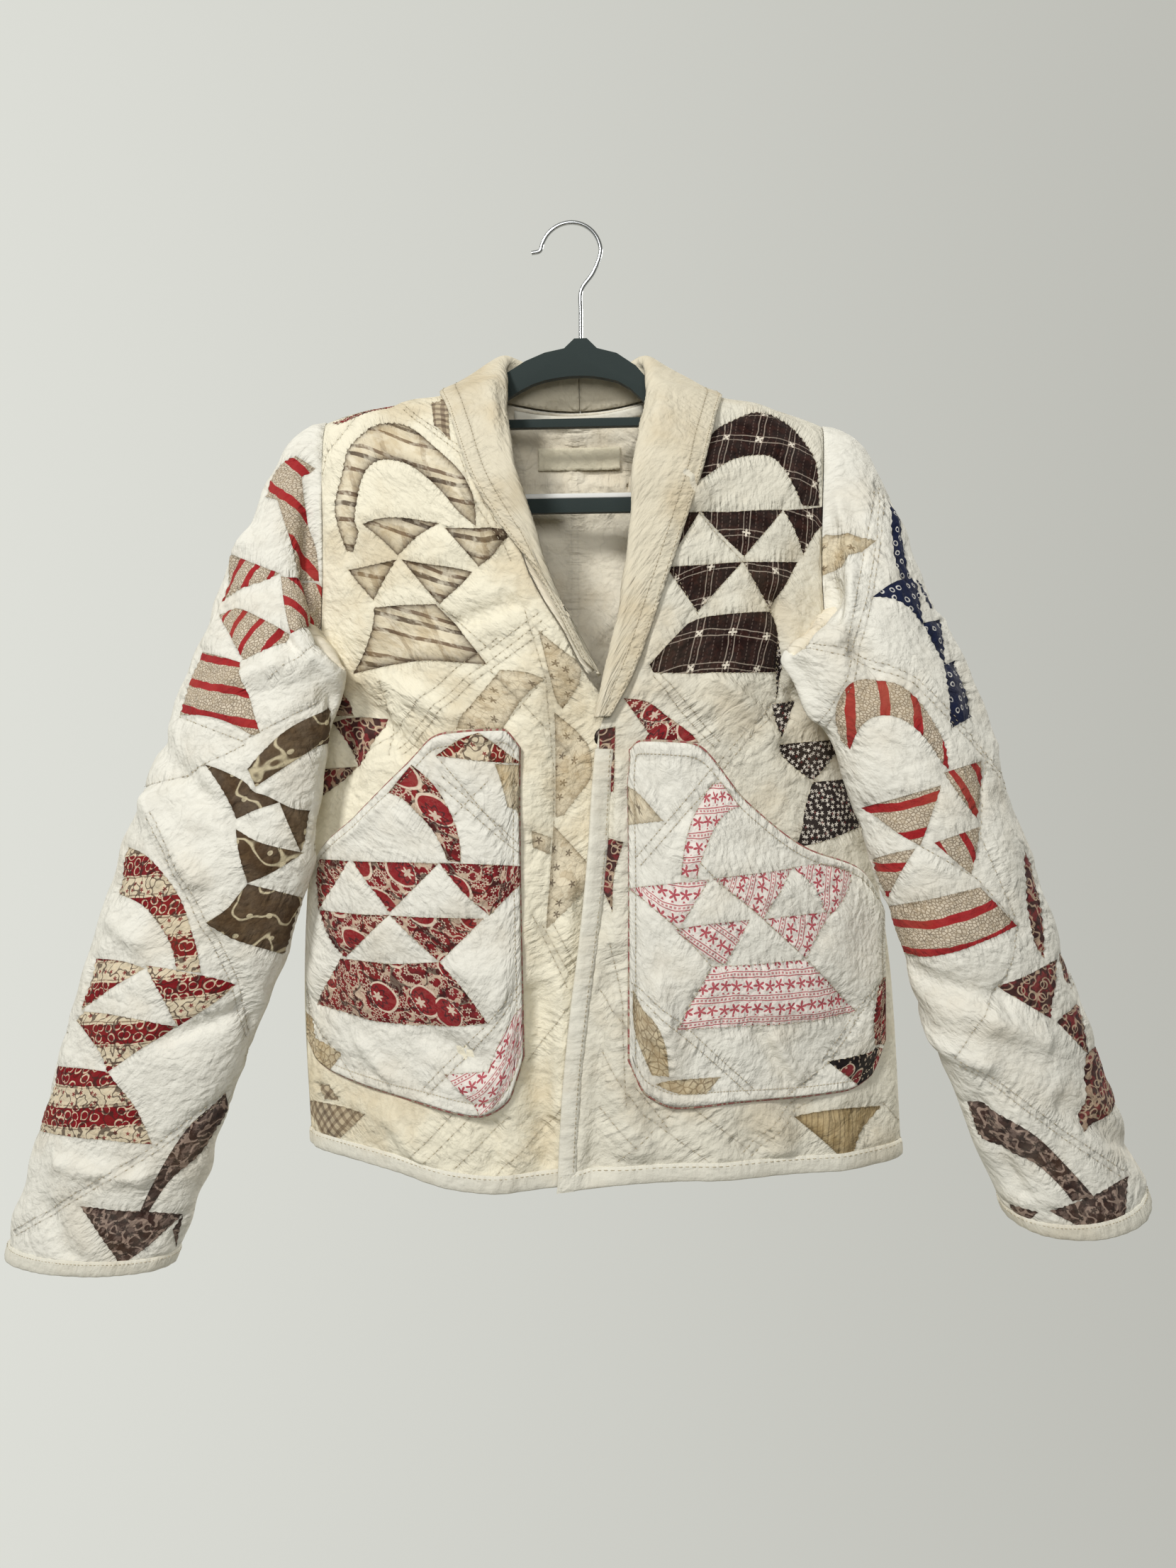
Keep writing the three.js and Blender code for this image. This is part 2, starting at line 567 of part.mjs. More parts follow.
// Pockets lie on the fronts, sewn down at the sides and the bottom, with a slanting mouth.
function pocket(name) {
  const surface = name === "left" ? frontY : rightFrontY;
  const bottom = through(POCKETS[name].bottom);
  const mouth = through(POCKETS[name].mouth);
  const [start, end] = [POCKETS[name].bottom[0][0], POCKETS[name].bottom.at(-1)[0]];
  const columns = 12;
  const rows = 12;
  const lift = PUFF + 1;
  const base = [];
  for (let row = 0; row <= rows; row++) {
    const line = [];
    for (let column = 0; column <= columns; column++) {
      const across = column / columns;
      const x = lerp(start, end, 0.5 - 0.5 * Math.cos(Math.PI * across) * 0.4 + (across - 0.5) * 0.6);
      const z = lerp(bottom(x), mouth(x), row / rows);
      line.push(new THREE.Vector3(x, surface(x, z), z));
    }
    base.push(line);
  }
  const normals = normalsOf(base, () => new THREE.Vector3(0, -1, 0));
  const gape = (row, column) => lift + POCKET_GAPE * Math.sin((Math.PI * column) / columns) ** 0.8
    * smooth(row / rows, 0, 0.75);
  const inner = moved(base, normals, gape);
  const outer = moved(base, normals, (row, column) => gape(row, column) + POCKET_CLOTH);
  add(`pocket_${name}`, wall(outer, inner), muslin);
}
pocket("right");
pocket("left");

// Collar halves meet at the centre back. Each turns over along its roll and falls on the coat.
function collar(name) {
  const stations = COLLARS[name];
  const front = name === "left" ? frontY : rightFrontY;
  const onCoat = (place, out, clear) => {
    const [x, y, z] = place;
    if (y !== null) return new THREE.Vector3(x, y, z);
    return new THREE.Vector3(x, out[1] > 0 ? backY(x, z) + clear : front(x, z) - clear, z);
  };
  const curveOf = (key, clear) =>
    new THREE.CatmullRomCurve3(stations.map((station) => onCoat(station[key], station.out, clear)));
  const stationSeams = curveOf("seam", 0);
  const neckStation = 2 / (stations.length - 1);
  const backNeck = panels.back.grid.at(-1);
  const frontNeck = panels[name].grid.map((line) => line[0]);
  const seamAt = (t) => {
    const near = stationSeams.getPoint(t);
    if (Math.abs(t - neckStation) < 0.01) return new THREE.Vector3(neckX[name], 0, shoulderLine(neckX[name]));
    return t < neckStation ? onLine(backNeck, "x", near.x) : onLine(frontNeck, "z", near.z);
  };
  const rolls = curveOf("roll", COLLAR_ROLL - COLLAR_CLOTH);
  const edges = curveOf("edge", COLLAR_REST);
  const outs = new THREE.CatmullRomCurve3(stations.map((station) => point(station.out)));

  // Moves a point outward until it clears the coat.
  const rest = (p, out) => {
    const lifted = p.clone();
    const inside = () => lifted.z < shoulderLine(lifted.x) + COLLAR_REST
      && lifted.y > front(lifted.x, lifted.z) - COLLAR_REST
      && lifted.y < backY(lifted.x, lifted.z) + COLLAR_REST;
    while (inside()) lifted.addScaledVector(out, 0.25);
    return lifted;
  };
  const face = [];
  const hidden = [];
  for (let step = 0; step <= COLLAR_STEPS; step++) {
    const t = step / COLLAR_STEPS;
    const seam = seamAt(t);
    const [roll, edge] = [rolls, edges].map((curve) => curve.getPoint(t));
    const fall = edge.clone().sub(roll).normalize();
    const out = outs.getPoint(t);
    out.addScaledVector(fall, -out.dot(fall)).normalize();
    const middle = roll.clone().addScaledVector(fall, COLLAR_ROLL);
    const turn = (angle, radius) => middle.clone().addScaledVector(fall, -Math.cos(angle) * radius)
      .addScaledVector(out, Math.sin(angle) * radius);
    const angles = [-0.5, -0.25, 0, 0.25, 0.5].map((part) => part * Math.PI);
    const hiddenTurn = angles.map((angle) => turn(angle, COLLAR_ROLL - COLLAR_CLOTH));
    const faceTurn = angles.map((angle) => turn(angle, COLLAR_ROLL));
    const tapeShare = clamp(1 - TAPE_WIDTH / edge.distanceTo(roll), 0.4, 0.85);
    const fallShares = [0.22, 0.45, 0.7, 1].map((part) => part * tapeShare).concat(1);
    const hiddenFall = fallShares.map((share) => rest(hiddenTurn[4].clone().lerp(edge, share), out));
    const faceFall = hiddenFall.map((p) => p.clone().addScaledVector(out, COLLAR_CLOTH));
    const toRoll = roll.clone().sub(seam).normalize();
    const seamHidden = seam.clone().addScaledVector(toRoll, COLLAR_SEAM_GAP);
    const seamFace = seamHidden.clone().addScaledVector(out, -COLLAR_CLOTH);
    hidden.push([seamHidden, seamHidden.clone().lerp(hiddenTurn[0], 0.5), ...hiddenTurn, ...hiddenFall]);
    face.push([seamFace, seamFace.clone().lerp(faceTurn[0], 0.5), ...faceTurn, ...faceFall]);
  }
  add(`collar_${name}`, wall(face, hidden), oldMuslin);
}
collar("right");
collar("left");

// Neck tape and label inside the back, and the snap that shows under the left front's edge.

function neckTape() {
  const grid = [];
  for (const step of [0, 0.5, 1]) {
    const line = [];
    for (let column = 0; column <= 12; column++) {
      const x = lerp(-NECK_TAPE.half, NECK_TAPE.half, column / 12) + 5;
      const dip = NECK_DROP * (1 - ((x - 0.5) / 78) ** 2);
      const z = -131 - dip - 3 - NECK_TAPE.height * step;
      line.push(new THREE.Vector3(x, backY(x, z) - CLOTH - SEAM_GAP - 1.2, z));
    }
    grid.push(line);
  }
  const thickness = (row) => (row === 1 ? NECK_TAPE.thick : NECK_TAPE.thick * 0.6);
  const over = grid.map((line, row) => line.map((p) => new THREE.Vector3(p.x, p.y - thickness(row), p.z)));
  add("neck_tape", wall(over, grid), tapeCotton);
}
neckTape();

function label() {
  const grid = [0, 0.5, 1].map((up) => Array.from({ length: 7 }, (_, column) => {
    const x = lerp(...LABEL.x, column / 6);
    const z = lerp(...LABEL.z, up);
    return new THREE.Vector3(x, backY(x, z) - CLOTH - SEAM_GAP - 0.9, z);
  }));
  const over = grid.map((line) => line.map((p) => new THREE.Vector3(p.x, p.y - LABEL.thick, p.z)));
  add("label", wall(over, grid), tapeCotton);
}
label();

function snap() {
  const profile = [[0, 0], [SNAP.radius, 0], [SNAP.radius, SNAP.height * 0.45], [SNAP.radius * 0.8, SNAP.height],
    [0, SNAP.height]].map(([radius, up]) => new THREE.Vector2(radius, up));
  const here = (x, z) => new THREE.Vector3(x, rightFrontY(x, z), z);
  const across = here(SNAP.x + 5, SNAP.z).sub(here(SNAP.x - 5, SNAP.z));
  const upward = here(SNAP.x, SNAP.z + 5).sub(here(SNAP.x, SNAP.z - 5));
  const outward = across.cross(upward).normalize();
  const mesh = new THREE.Mesh(new THREE.LatheGeometry(profile, 16), material(SNAP_COLOUR, 0.4, 0.8));
  mesh.name = "snap";
  mesh.position.copy(here(SNAP.x, SNAP.z).addScaledVector(outward, SEAM_GAP * 3));
  mesh.quaternion.setFromUnitVectors(new THREE.Vector3(0, 1, 0), outward);
  coat.add(mesh);
}
snap();

// Hanger: arched arms, a tie bar, and a trouser bar with a pale grip strip on it.
function hanger() {
  const armTop = through(ARM_TOP);
  const [tipRight, tipLeft] = [ARM_TOP[0][0], ARM_TOP.at(-1)[0]];
  const armUnder = (x) => armTop(x) - lerp(ARM_DEPTH, ARM_TIP_DEPTH,
    Math.min(1, Math.abs(x - HUB.x) / (tipLeft - HUB.x)));
  const shape = new THREE.Shape();
  const walk = (from, to, steps, height, draw) => {
    for (let i = 0; i <= steps; i++) draw(lerp(from, to, i / steps), height(lerp(from, to, i / steps)));
  };
  const barBottom = TROUSER_BAR.top - TROUSER_BAR.depth;
  shape.moveTo(TROUSER_BAR.right + 8, barBottom);
  shape.lineTo(TROUSER_BAR.left - 8, barBottom);
  shape.quadraticCurveTo(tipLeft + 3, barBottom, tipLeft + 3, TROUSER_BAR.top + 10);
  shape.lineTo(tipLeft + 3, armTop(tipLeft) - 9);
  walk(tipLeft, HUB.x + HUB.foot, 12, armTop, (x, z) => shape.lineTo(x, z));
  shape.lineTo(HUB.x + HUB.neck, HUB.top);
  shape.lineTo(HUB.x - HUB.neck, HUB.top);
  walk(HUB.x - HUB.foot, tipRight, 12, armTop, (x, z) => shape.lineTo(x, z));
  shape.lineTo(tipRight - 3, armTop(tipRight) - 9);
  shape.lineTo(tipRight - 3, TROUSER_BAR.top + 10);
  shape.quadraticCurveTo(tipRight - 3, barBottom, TROUSER_BAR.right + 8, barBottom);

  const tieBottom = TIE_BAR.top - TIE_BAR.depth;
  const meets = (height) => {
    const ends = [];
    for (const way of [-1, 1]) {
      let x = HUB.x;
      while (armUnder(x) > height) x += way;
      ends.push(x - way);
    }
    return ends;
  };
  const upper = new THREE.Path();
  const [upperRight, upperLeft] = meets(TIE_BAR.top + 2);
  upper.moveTo(upperRight, TIE_BAR.top);
  walk(upperRight, upperLeft, 14, (x) => Math.max(armUnder(x), TIE_BAR.top + 2), (x, z) => upper.lineTo(x, z));
  upper.lineTo(upperLeft, TIE_BAR.top);
  upper.closePath();
  const lower = new THREE.Path();
  const [lowerRight, lowerLeft] = [tipRight + 9, tipLeft - 9];
  lower.moveTo(lowerRight, TROUSER_BAR.top + 6);
  lower.lineTo(lowerRight + 6, TROUSER_BAR.top);
  lower.lineTo(lowerLeft - 6, TROUSER_BAR.top);
  lower.lineTo(lowerLeft, TROUSER_BAR.top + 6);
  walk(lowerLeft, lowerRight, 18, (x) => Math.min(armUnder(x), tieBottom), (x, z) => lower.lineTo(x, z));
  lower.closePath();
  shape.holes.push(upper, lower);
  const geometry = new THREE.ExtrudeGeometry(shape, {
    depth: HANGER_THICK, bevelEnabled: false, curveSegments: 5,
  });
  geometry.translate(0, 0, -HANGER_THICK / 2);
  geometry.rotateX(Math.PI / 2);
  add("hanger", geometry, material(VELVET, 0.9));

  const strip = new THREE.BoxGeometry(2 * GRIP_STRIP.half, GRIP_STRIP.depth, GRIP_STRIP.height);
  const mesh = new THREE.Mesh(strip, material(GRIP_COLOUR, 0.6));
  mesh.name = "grip_strip";
  mesh.position.set(HUB.x, 0, TROUSER_BAR.top + SEAM_GAP + GRIP_STRIP.height / 2);
  coat.add(mesh);
}
hanger();

// Hook: one bent wire, with its crown's inside at the origin and a short turned-out tip.
function hook() {
  const bend = HOOK_RADIUS + WIRE;
  const arc = [];
  for (let degrees = 0; degrees <= 160; degrees += 20) {
    const angle = THREE.MathUtils.degToRad(degrees);
    arc.push(new THREE.Vector3(bend * Math.cos(angle), 0, WIRE - bend + bend * Math.sin(angle)));
  }
  const route = [
    new THREE.Vector3(HUB.x, 0, HUB.top + SEAM_GAP), new THREE.Vector3(HUB.x, 0, -70),
    new THREE.Vector3(HUB.x + 0.5, 0, -52), new THREE.Vector3(HUB.x + 10, 0, -38), ...arc,
    new THREE.Vector3(-24.5, 0, -20), new THREE.Vector3(-31, 0, -21.5),
  ];
  const section = new THREE.Shape();
  section.absarc(0, 0, WIRE, 0, 2 * Math.PI);
  const geometry = new THREE.ExtrudeGeometry(section, {
    steps: 34, curveSegments: 4, extrudePath: new THREE.CatmullRomCurve3(route),
  });
  add("hook", geometry, material(STEEL, 0.25, 1));
}
hook();

export default coat;
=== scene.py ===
# %% [markdown]
# # A patched quilt coat on a slim hanger
# The coat was cut from an old quilt of basket blocks, so every panel carries patches, quilting and wear.
# The frame gives the coat's solids. Here each panel becomes a thin quilted shell on the same form. Sizes
# are in millimetres until a mesh is made, because that is how a coat is cut.

# %% Load the frame
import math

import bpy
import numpy as np
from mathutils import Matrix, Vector, geometry, kdtree


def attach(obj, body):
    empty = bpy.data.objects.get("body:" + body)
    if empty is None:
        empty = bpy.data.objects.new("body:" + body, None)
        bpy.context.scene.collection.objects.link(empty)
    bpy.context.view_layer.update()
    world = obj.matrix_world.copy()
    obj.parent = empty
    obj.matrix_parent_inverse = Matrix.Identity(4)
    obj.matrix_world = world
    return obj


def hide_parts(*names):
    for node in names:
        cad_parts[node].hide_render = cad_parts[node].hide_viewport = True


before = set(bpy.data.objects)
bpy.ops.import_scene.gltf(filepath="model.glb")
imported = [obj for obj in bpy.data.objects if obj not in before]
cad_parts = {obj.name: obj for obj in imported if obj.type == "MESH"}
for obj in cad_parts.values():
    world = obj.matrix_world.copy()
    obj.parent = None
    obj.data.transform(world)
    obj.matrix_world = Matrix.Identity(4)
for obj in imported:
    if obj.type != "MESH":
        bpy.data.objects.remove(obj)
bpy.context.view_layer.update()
bpy.ops.object.select_all(action="DESELECT")
BODY = "root"
MM = 0.001
print("frame nodes:", sorted(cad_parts))

# %% [markdown]
# The camera comes first. It stands where the photographer stood, level and close to the coat. A patch is
# placed by the pixel where it shows, so the same camera also turns pixels into places on the cloth.

# %% Camera
PHOTO_SIZE = np.array([1659, 2212])
EYE = np.array([77.1, -928.9, -441.9])
YAW = math.radians(3.9)
FOCAL_PIXELS = 1664
SENSOR = 36
RIGHT = np.array([math.cos(YAW), math.sin(YAW), 0])
FORWARD = np.array([-math.sin(YAW), math.cos(YAW), 0])


def to_photo(points):
    """Pixels of the photograph where points in mm show."""
    away = np.asarray(points) - EYE
    depth = away @ FORWARD
    spread = np.stack([away @ RIGHT, -away[..., 2]], axis=-1)
    return PHOTO_SIZE / 2 + FOCAL_PIXELS * spread / depth[..., None]


camera_data = bpy.data.cameras.new("camera")
camera_data.sensor_fit = "VERTICAL"
camera_data.sensor_height = SENSOR
camera_data.lens = SENSOR * FOCAL_PIXELS / PHOTO_SIZE[1]
camera = bpy.data.objects.new("camera", camera_data)
camera.location = EYE * MM
camera.rotation_euler = (math.pi / 2, 0, YAW)
bpy.context.scene.collection.objects.link(camera)
bpy.context.scene.camera = camera
print("lens", round(camera_data.lens, 2), "mm")

# %% [markdown]
# A coat hangs in smooth curves, so its outline is a few measured stations with a smooth line through them.
# Three kinds of curve do it all: one that never overshoots, one through a grid's rows, and one in space.

# %% Curves
def lerp(a, b, share):
    return a + (b - a) * share


def smooth(x, low, high):
    t = np.clip((x - low) / (high - low), 0, 1)
    return t * t * (3 - 2 * t)


def bell(distance, width):
    return np.exp(-((distance / width) ** 2))


def hermite(u, start, end, start_slope, end_slope):
    return (start * (2 * u**3 - 3 * u**2 + 1) + start_slope * (u**3 - 2 * u**2 + u)
            + end * (3 * u**2 - 2 * u**3) + end_slope * (u**3 - u**2))


def through(stations):
    """A smooth function through [input, output] stations, with no overshoot."""
    xs, ys = np.array(stations, float).T
    chords = np.diff(ys) / np.diff(xs)
    before, after = chords[:-1], chords[1:]
    total = np.where(before + after == 0, 1, before + after)
    bends = np.where(before * after <= 0, 0, 2 * before * after / total)
    slopes = np.concatenate([chords[:1], bends, chords[-1:]])

    def at(x):
        t = np.clip(x, xs[0], xs[-1])
        i = np.clip(np.searchsorted(xs, t, side="right") - 1, 0, len(xs) - 2)
        w = xs[i + 1] - xs[i]
        return hermite((t - xs[i]) / w, ys[i], ys[i + 1], w * slopes[i], w * slopes[i + 1])
    return at


def spline(knots, values, at):
    """Rows of values, smoothly filled in at new places between their knots."""
    shape = (-1,) + (1,) * (values.ndim - 1)
    h = np.diff(knots).reshape(shape)
    chords = np.diff(values, axis=0) / h
    middle = (chords[:-1] * h[1:] + chords[1:] * h[:-1]) / (h[1:] + h[:-1])
    slopes = np.concatenate([chords[:1], middle, chords[-1:]])
    i = np.clip(np.searchsorted(knots, at, side="right") - 1, 0, len(knots) - 2)
    w = (knots[i + 1] - knots[i]).reshape(shape)
    u = (at - knots[i]).reshape(shape) / w
    return hermite(u, values[i], values[i + 1], w * slopes[i], w * slopes[i + 1])


def space_curve(points):
    """A curve in space through points, as a function of a share from 0 to 1."""
    p = np.array(points, float)
    p = np.vstack([2 * p[0] - p[1], p, 2 * p[-1] - p[-2]])
    root = np.maximum(np.linalg.norm(np.diff(p, axis=0), axis=1), 1e-6) ** 0.5

    def at(share):
        place = np.clip(share, 0, 1) * (len(p) - 3)
        i = min(int(place), len(p) - 4)
        a, b, c, d = p[i:i + 4]
        r, s, t = root[i:i + 3]
        leave = s * ((b - a) / r - (c - a) / (r + s) + (c - b) / s)
        arrive = s * ((c - b) / s - (d - b) / (s + t) + (d - c) / t)
        return hermite(place - i, b, c, leave, arrive)
    return at


# %% [markdown]
# The coat's own form: two fronts, one of them lapped over the other, and a back, all hanging from the
# shoulders. These are the measures the solids are made from, so the cloth lies where the frame holds it.

# %% Measures of the body
CLOTH = 2.6
PUFF = 1.5
TAPE_WIDTH = 12
HEM_Z = -728
UNDERARM_Z = -392
SEAM_GAP = 0.3
left_side = through([[-745, 258], [-600, 250], [-392, 226], [-300, 236], [-150, 240]])
right_side = through([[-745, -207], [-600, -214], [-392, -206], [-300, -226], [-150, -232]])
ARMHOLE = {
    "left": through([[-392, 226], [-378, 209], [-345, 197], [-270, 192], [-164, 196]]),
    "right": through([[-392, -206], [-378, -199], [-345, -194], [-270, -191], [-153, -195]]),
}
EDGE = {
    "left": through([[-745, -3], [-672, 1], [-604, 8], [-551, 15], [-490, 21], [-411, 26], [-384, 36],
                     [-359, 43], [-327, 50], [-294, 57], [-245, 62], [-208, 65], [-170, 72], [-132, 79]]),
    "right": through([[-745, 15], [-604, 26], [-490, 39], [-413, 40], [-385, 32], [-362, 16], [-322, -4],
                      [-290, -24], [-250, -36], [-206, -50], [-170, -62], [-130, -78]]),
}
front_depth = through([[-745, 74], [-560, 82], [-400, 78], [-280, 68], [-150, 62]])
shoulder_line = through([[-235, -178], [-195, -153], [-163, -143.5], [-98, -134], [-60, -124], [0, -108],
                         [60, -126], [115, -141], [145, -146], [177, -156], [196, -164], [235, -190]])
TIP_X = {"right": -195, "left": 196}
BACK_DEPTH = 36
SHOULDER_ROUND = 90
LAP_RECESS = 13
NECK_DROP = 10
FRONT_FOLDS = [((40, -440), (22, -725), 8, -6), ((150, -380), (205, -440), 16, -6),
               ((110, -690), (120, -740), 22, 5),
               ((200, -690), (212, -740), 18, 5), ((-95, -690), (-90, -745), 24, 5),
               ((-120, -340), (-175, -430), 18, -7)]
BACK_FOLDS = [((-120, -330), (-150, -735), 30, 7), ((20, -400), (25, -735), 34, 8),
              ((150, -330), (175, -735), 30, 7), ((-60, -470), (-66, -735), 22, -5),
              ((95, -470), (104, -735), 22, -5)]


def hem_line(x):
    return HEM_Z - 15 * bell(x + 50, 80)


def folds_at(folds, x, z):
    """How far a set of folds moves the cloth out: each has two ends, a half-width and a height."""
    total = 0
    for (ax, az), (bx, bz), width, out in folds:
        length2 = (bx - ax) ** 2 + (bz - az) ** 2
        t = np.clip(((x - ax) * (bx - ax) + (z - az) * (bz - az)) / length2, 0, 1)
        total = total + out * bell(np.hypot(x - lerp(ax, bx, t), z - lerp(az, bz, t)), width)
    return total


def fullness(x, z):
    """Share of the body's depth: flat in the middle, rounded at the sides and at the shoulder."""
    half = (left_side(z) - right_side(z)) / 2
    sine = np.clip((x - (left_side(z) + right_side(z)) / 2) / half, -1, 1)
    below = np.clip((shoulder_line(x) - z) / SHOULDER_ROUND, 0, 1)
    return np.sqrt(1 - sine * sine), np.sqrt(1 - (1 - below) ** 2)


def left_front_y(x, z):
    side, top = fullness(x, z)
    folds = folds_at(FRONT_FOLDS, x, z) * np.minimum(1, side * 3)
    return -(front_depth(z) * (side + side * side) * 0.5 + folds) * top


def right_front_y(x, z):
    return left_front_y(x, z) + LAP_RECESS * smooth(x - EDGE["left"](z), -55, -10)


def back_y(x, z):
    side, top = fullness(x, z)
    return (BACK_DEPTH * side + folds_at(BACK_FOLDS, x, z) * np.minimum(1, side * 3)) * top


FRONT_Y = {"left": left_front_y, "right": right_front_y}

# %% [markdown]
# Each panel is first a coarse net of points, row by row from the hem to the shoulder, as the solid has it.
# The rows lie close together where the cloth turns: at the hem tape and over the shoulder.

# %% Nets of the body panels
SIDE_ROWS = 14
ARM_SHARES = [0.1, 0.2, 0.3, 0.4, 0.5, 0.6, 0.7, 0.79, 0.87, 0.935, 0.975, 1]
FRONT_COLUMNS = 15
FIRST_COLUMNS = [0, 12, 24]
BACK_COLUMNS = 24
NECK_COLUMN = 8


def outer_edge(name):
    """A side's outer edge: up the side seam, then round the armhole."""
    side_at = left_side if name == "left" else right_side
    hem = hem_line(side_at(HEM_Z))
    rows = [0] + list(np.linspace(TAPE_WIDTH, UNDERARM_Z - hem, SIDE_ROWS))
    edge = [(side_at(hem + above), hem + above) for above in rows]
    for share in ARM_SHARES:
        z = lerp(UNDERARM_Z, shoulder_line(TIP_X[name]), share)
        edge.append((ARMHOLE[name](z), z))
    return np.array(edge)


OUTER = {name: outer_edge(name) for name in ("left", "right")}
ROW_SHARE = {name: (e[:, 1] - e[0, 1]) / (e[-1, 1] - e[0, 1]) for name, e in OUTER.items()}


def back_spacing(share):
    return 0.6 * share + 0.2 * (1 - np.cos(np.pi * share))


NECK_X = {"right": lerp(TIP_X["right"], TIP_X["left"], back_spacing(NECK_COLUMN / BACK_COLUMNS)),
          "left": lerp(TIP_X["right"], TIP_X["left"], back_spacing(1 - NECK_COLUMN / BACK_COLUMNS))}


def neck_line(x):
    share = np.clip((x - NECK_X["right"]) / (NECK_X["left"] - NECK_X["right"]), 0, 1)
    ends = lerp(shoulder_line(NECK_X["right"]), shoulder_line(NECK_X["left"]), share)
    return ends - NECK_DROP * 4 * share * (1 - share)


def front_net(name):
    surface, edge_at, outer = FRONT_Y[name], EDGE[name], OUTER[name]
    hem = hem_line(edge_at(HEM_Z))
    neck = shoulder_line(NECK_X[name])
    net = []
    for row, (outer_x, outer_z) in enumerate(outer):
        share = ROW_SHARE[name][row]
        last = row == len(outer) - 1
        inner_z = lerp(hem, neck, share)
        inner_x = NECK_X[name] if last else edge_at(inner_z)
        width = abs(outer_x - inner_x)
        line = []
        for column in range(FRONT_COLUMNS + 1):
            rest = (column - 2) / (FRONT_COLUMNS - 2)
            start = FIRST_COLUMNS[2] / width
            across = start + (1 - start) * (0.5 * rest + 0.5 * math.sin(rest * math.pi / 2))
            if column < 3:
                across = FIRST_COLUMNS[column] / width
            x = lerp(inner_x, outer_x, across)
            dip = hem_line(x) - lerp(hem, hem_line(outer[0][0]), across)
            z = shoulder_line(x) if last else lerp(inner_z, outer_z, across) + dip * (1 - share)
            sewn = last or (column == FRONT_COLUMNS and row <= SIDE_ROWS)
            line.append((x, -SEAM_GAP / 2 if sewn else surface(x, z), z))
        net.append(line)
    return np.array(net)


def back_net():
    net = []
    for row, (right, left) in enumerate(zip(OUTER["right"], OUTER["left"])):
        share = ROW_SHARE["right"][row]
        last = row == len(OUTER["right"]) - 1
        line = []
        for column in range(BACK_COLUMNS + 1):
            across = back_spacing(column / BACK_COLUMNS)
            x, level = lerp(right, left, across)
            top_x, tip_level = lerp(OUTER["right"][-1], OUTER["left"][-1], across)
            in_neck = NECK_COLUMN < column < BACK_COLUMNS - NECK_COLUMN
            top = neck_line(top_x) if in_neck else shoulder_line(top_x)
            z = level + (top - tip_level) * share**3
            sewn = (column in (0, BACK_COLUMNS) and row <= SIDE_ROWS) or (last and not in_neck)
            line.append((x, SEAM_GAP / 2 if sewn else back_y(x, z), z))
        net.append(line)
    return np.array(net)


NETS = {"back": back_net(), "front_left": front_net("left"), "front_right": front_net("right")}
print("body nets", {name: net.shape for name, net in NETS.items()})

# %% [markdown]
# A sleeve is a tube: rings of points round the arm. The first rings turn from the armhole to the hang, and
# the rest go down the arm between its top line and its under line. The tube is opened along its hidden
# back.

# %% Nets of the sleeves
SLEEVES = {
    "right": {
        "side": -1, "cuff_drop": 0.1,
        "top": [(-277, -14, -301), (-313, -16, -386), (-350, -16, -486), (-400, -14, -638), (-457, -6, -822)],
        "under": [(-166, -57, -360), (-184, -56, -440), (-194, -54, -516), (-246, -46, -650),
                  (-310, -26, -816)],
        "front": [30, 38, 42, 38, 30], "back": [8, 9, 14, 26, 26],
    },
    "left": {
        "side": 1, "cuff_drop": 0.42,
        "top": [(276, -14, -305), (303, -16, -374), (332, -16, -450), (386, -10, -604), (443, 0, -758)],
        "under": [(167, -58, -352), (196, -57, -410), (222, -52, -486), (280, -40, -645), (331, -14, -763)],
        "front": [34, 40, 44, 42, 38], "back": [8, 12, 20, 32, 34],
    },
}
CAP_RINGS = 9
HANG_RINGS = 18


def armhole_points(name):
    front = NETS["front_" + name][SIDE_ROWS:, FRONT_COLUMNS][::-1]
    back = NETS["back"][SIDE_ROWS + 1:-1, BACK_COLUMNS if name == "left" else 0]
    return np.vstack([front, back]) + np.array([SLEEVES[name]["side"] * 0.5, 0, 0])


def sleeve_net(name):
    cut = SLEEVES[name]
    hole = armhole_points(name)
    around = len(hole)
    angles = 2 * np.pi * np.arange(around) / around
    top, under = space_curve(cut["top"]), space_curve(cut["under"])
    stations = np.linspace(0, 1, 5)
    front_at = through(np.column_stack([stations, cut["front"]]))
    back_at = through(np.column_stack([stations, cut["back"]]))

    def section(s):
        upper, lower = top(s), under(s)
        forward = np.array([cut["side"] * 0.12 * (1 - s), -1, -cut["cuff_drop"] * smooth(s, 0.5, 1)])
        forward = forward / np.linalg.norm(forward)
        depth = np.where(np.sin(angles) > 0, front_at(s), back_at(s))
        return ((upper + lower) / 2 + np.outer(np.cos(angles), (upper - lower) / 2)
                + np.outer(np.sin(angles) * depth, forward))

    first, second = section(0), section(0.05)
    under_share = (0.5 - 0.5 * np.cos(angles))[:, None]
    leave = hole + lerp(36, 12, under_share) * np.array([cut["side"], 0, 0])
    arrive = first - second
    arrive = first + arrive / np.linalg.norm(arrive, axis=1)[:, None] * lerp(60, 14, under_share)
    rings = []
    for ring in range(CAP_RINGS):
        t = (ring / CAP_RINGS) ** 1.15
        bend = hole * (1 - t) ** 3 + 3 * leave * t * (1 - t) ** 2
        rings.append(bend + 3 * arrive * t * t * (1 - t) + first * t**3)
    length = np.linalg.norm(np.diff([top(s) for s in np.linspace(0, 1, 60)], axis=0), axis=1).sum()
    for ring in range(HANG_RINGS):
        rings.append(section((1 - TAPE_WIDTH / length) * ring / (HANG_RINGS - 1)))
    rings.append(section(1))
    opened = np.roll(np.array(rings), around // 4, axis=1)
    return np.concatenate([opened, opened[:, :1]], axis=1)[::-1]


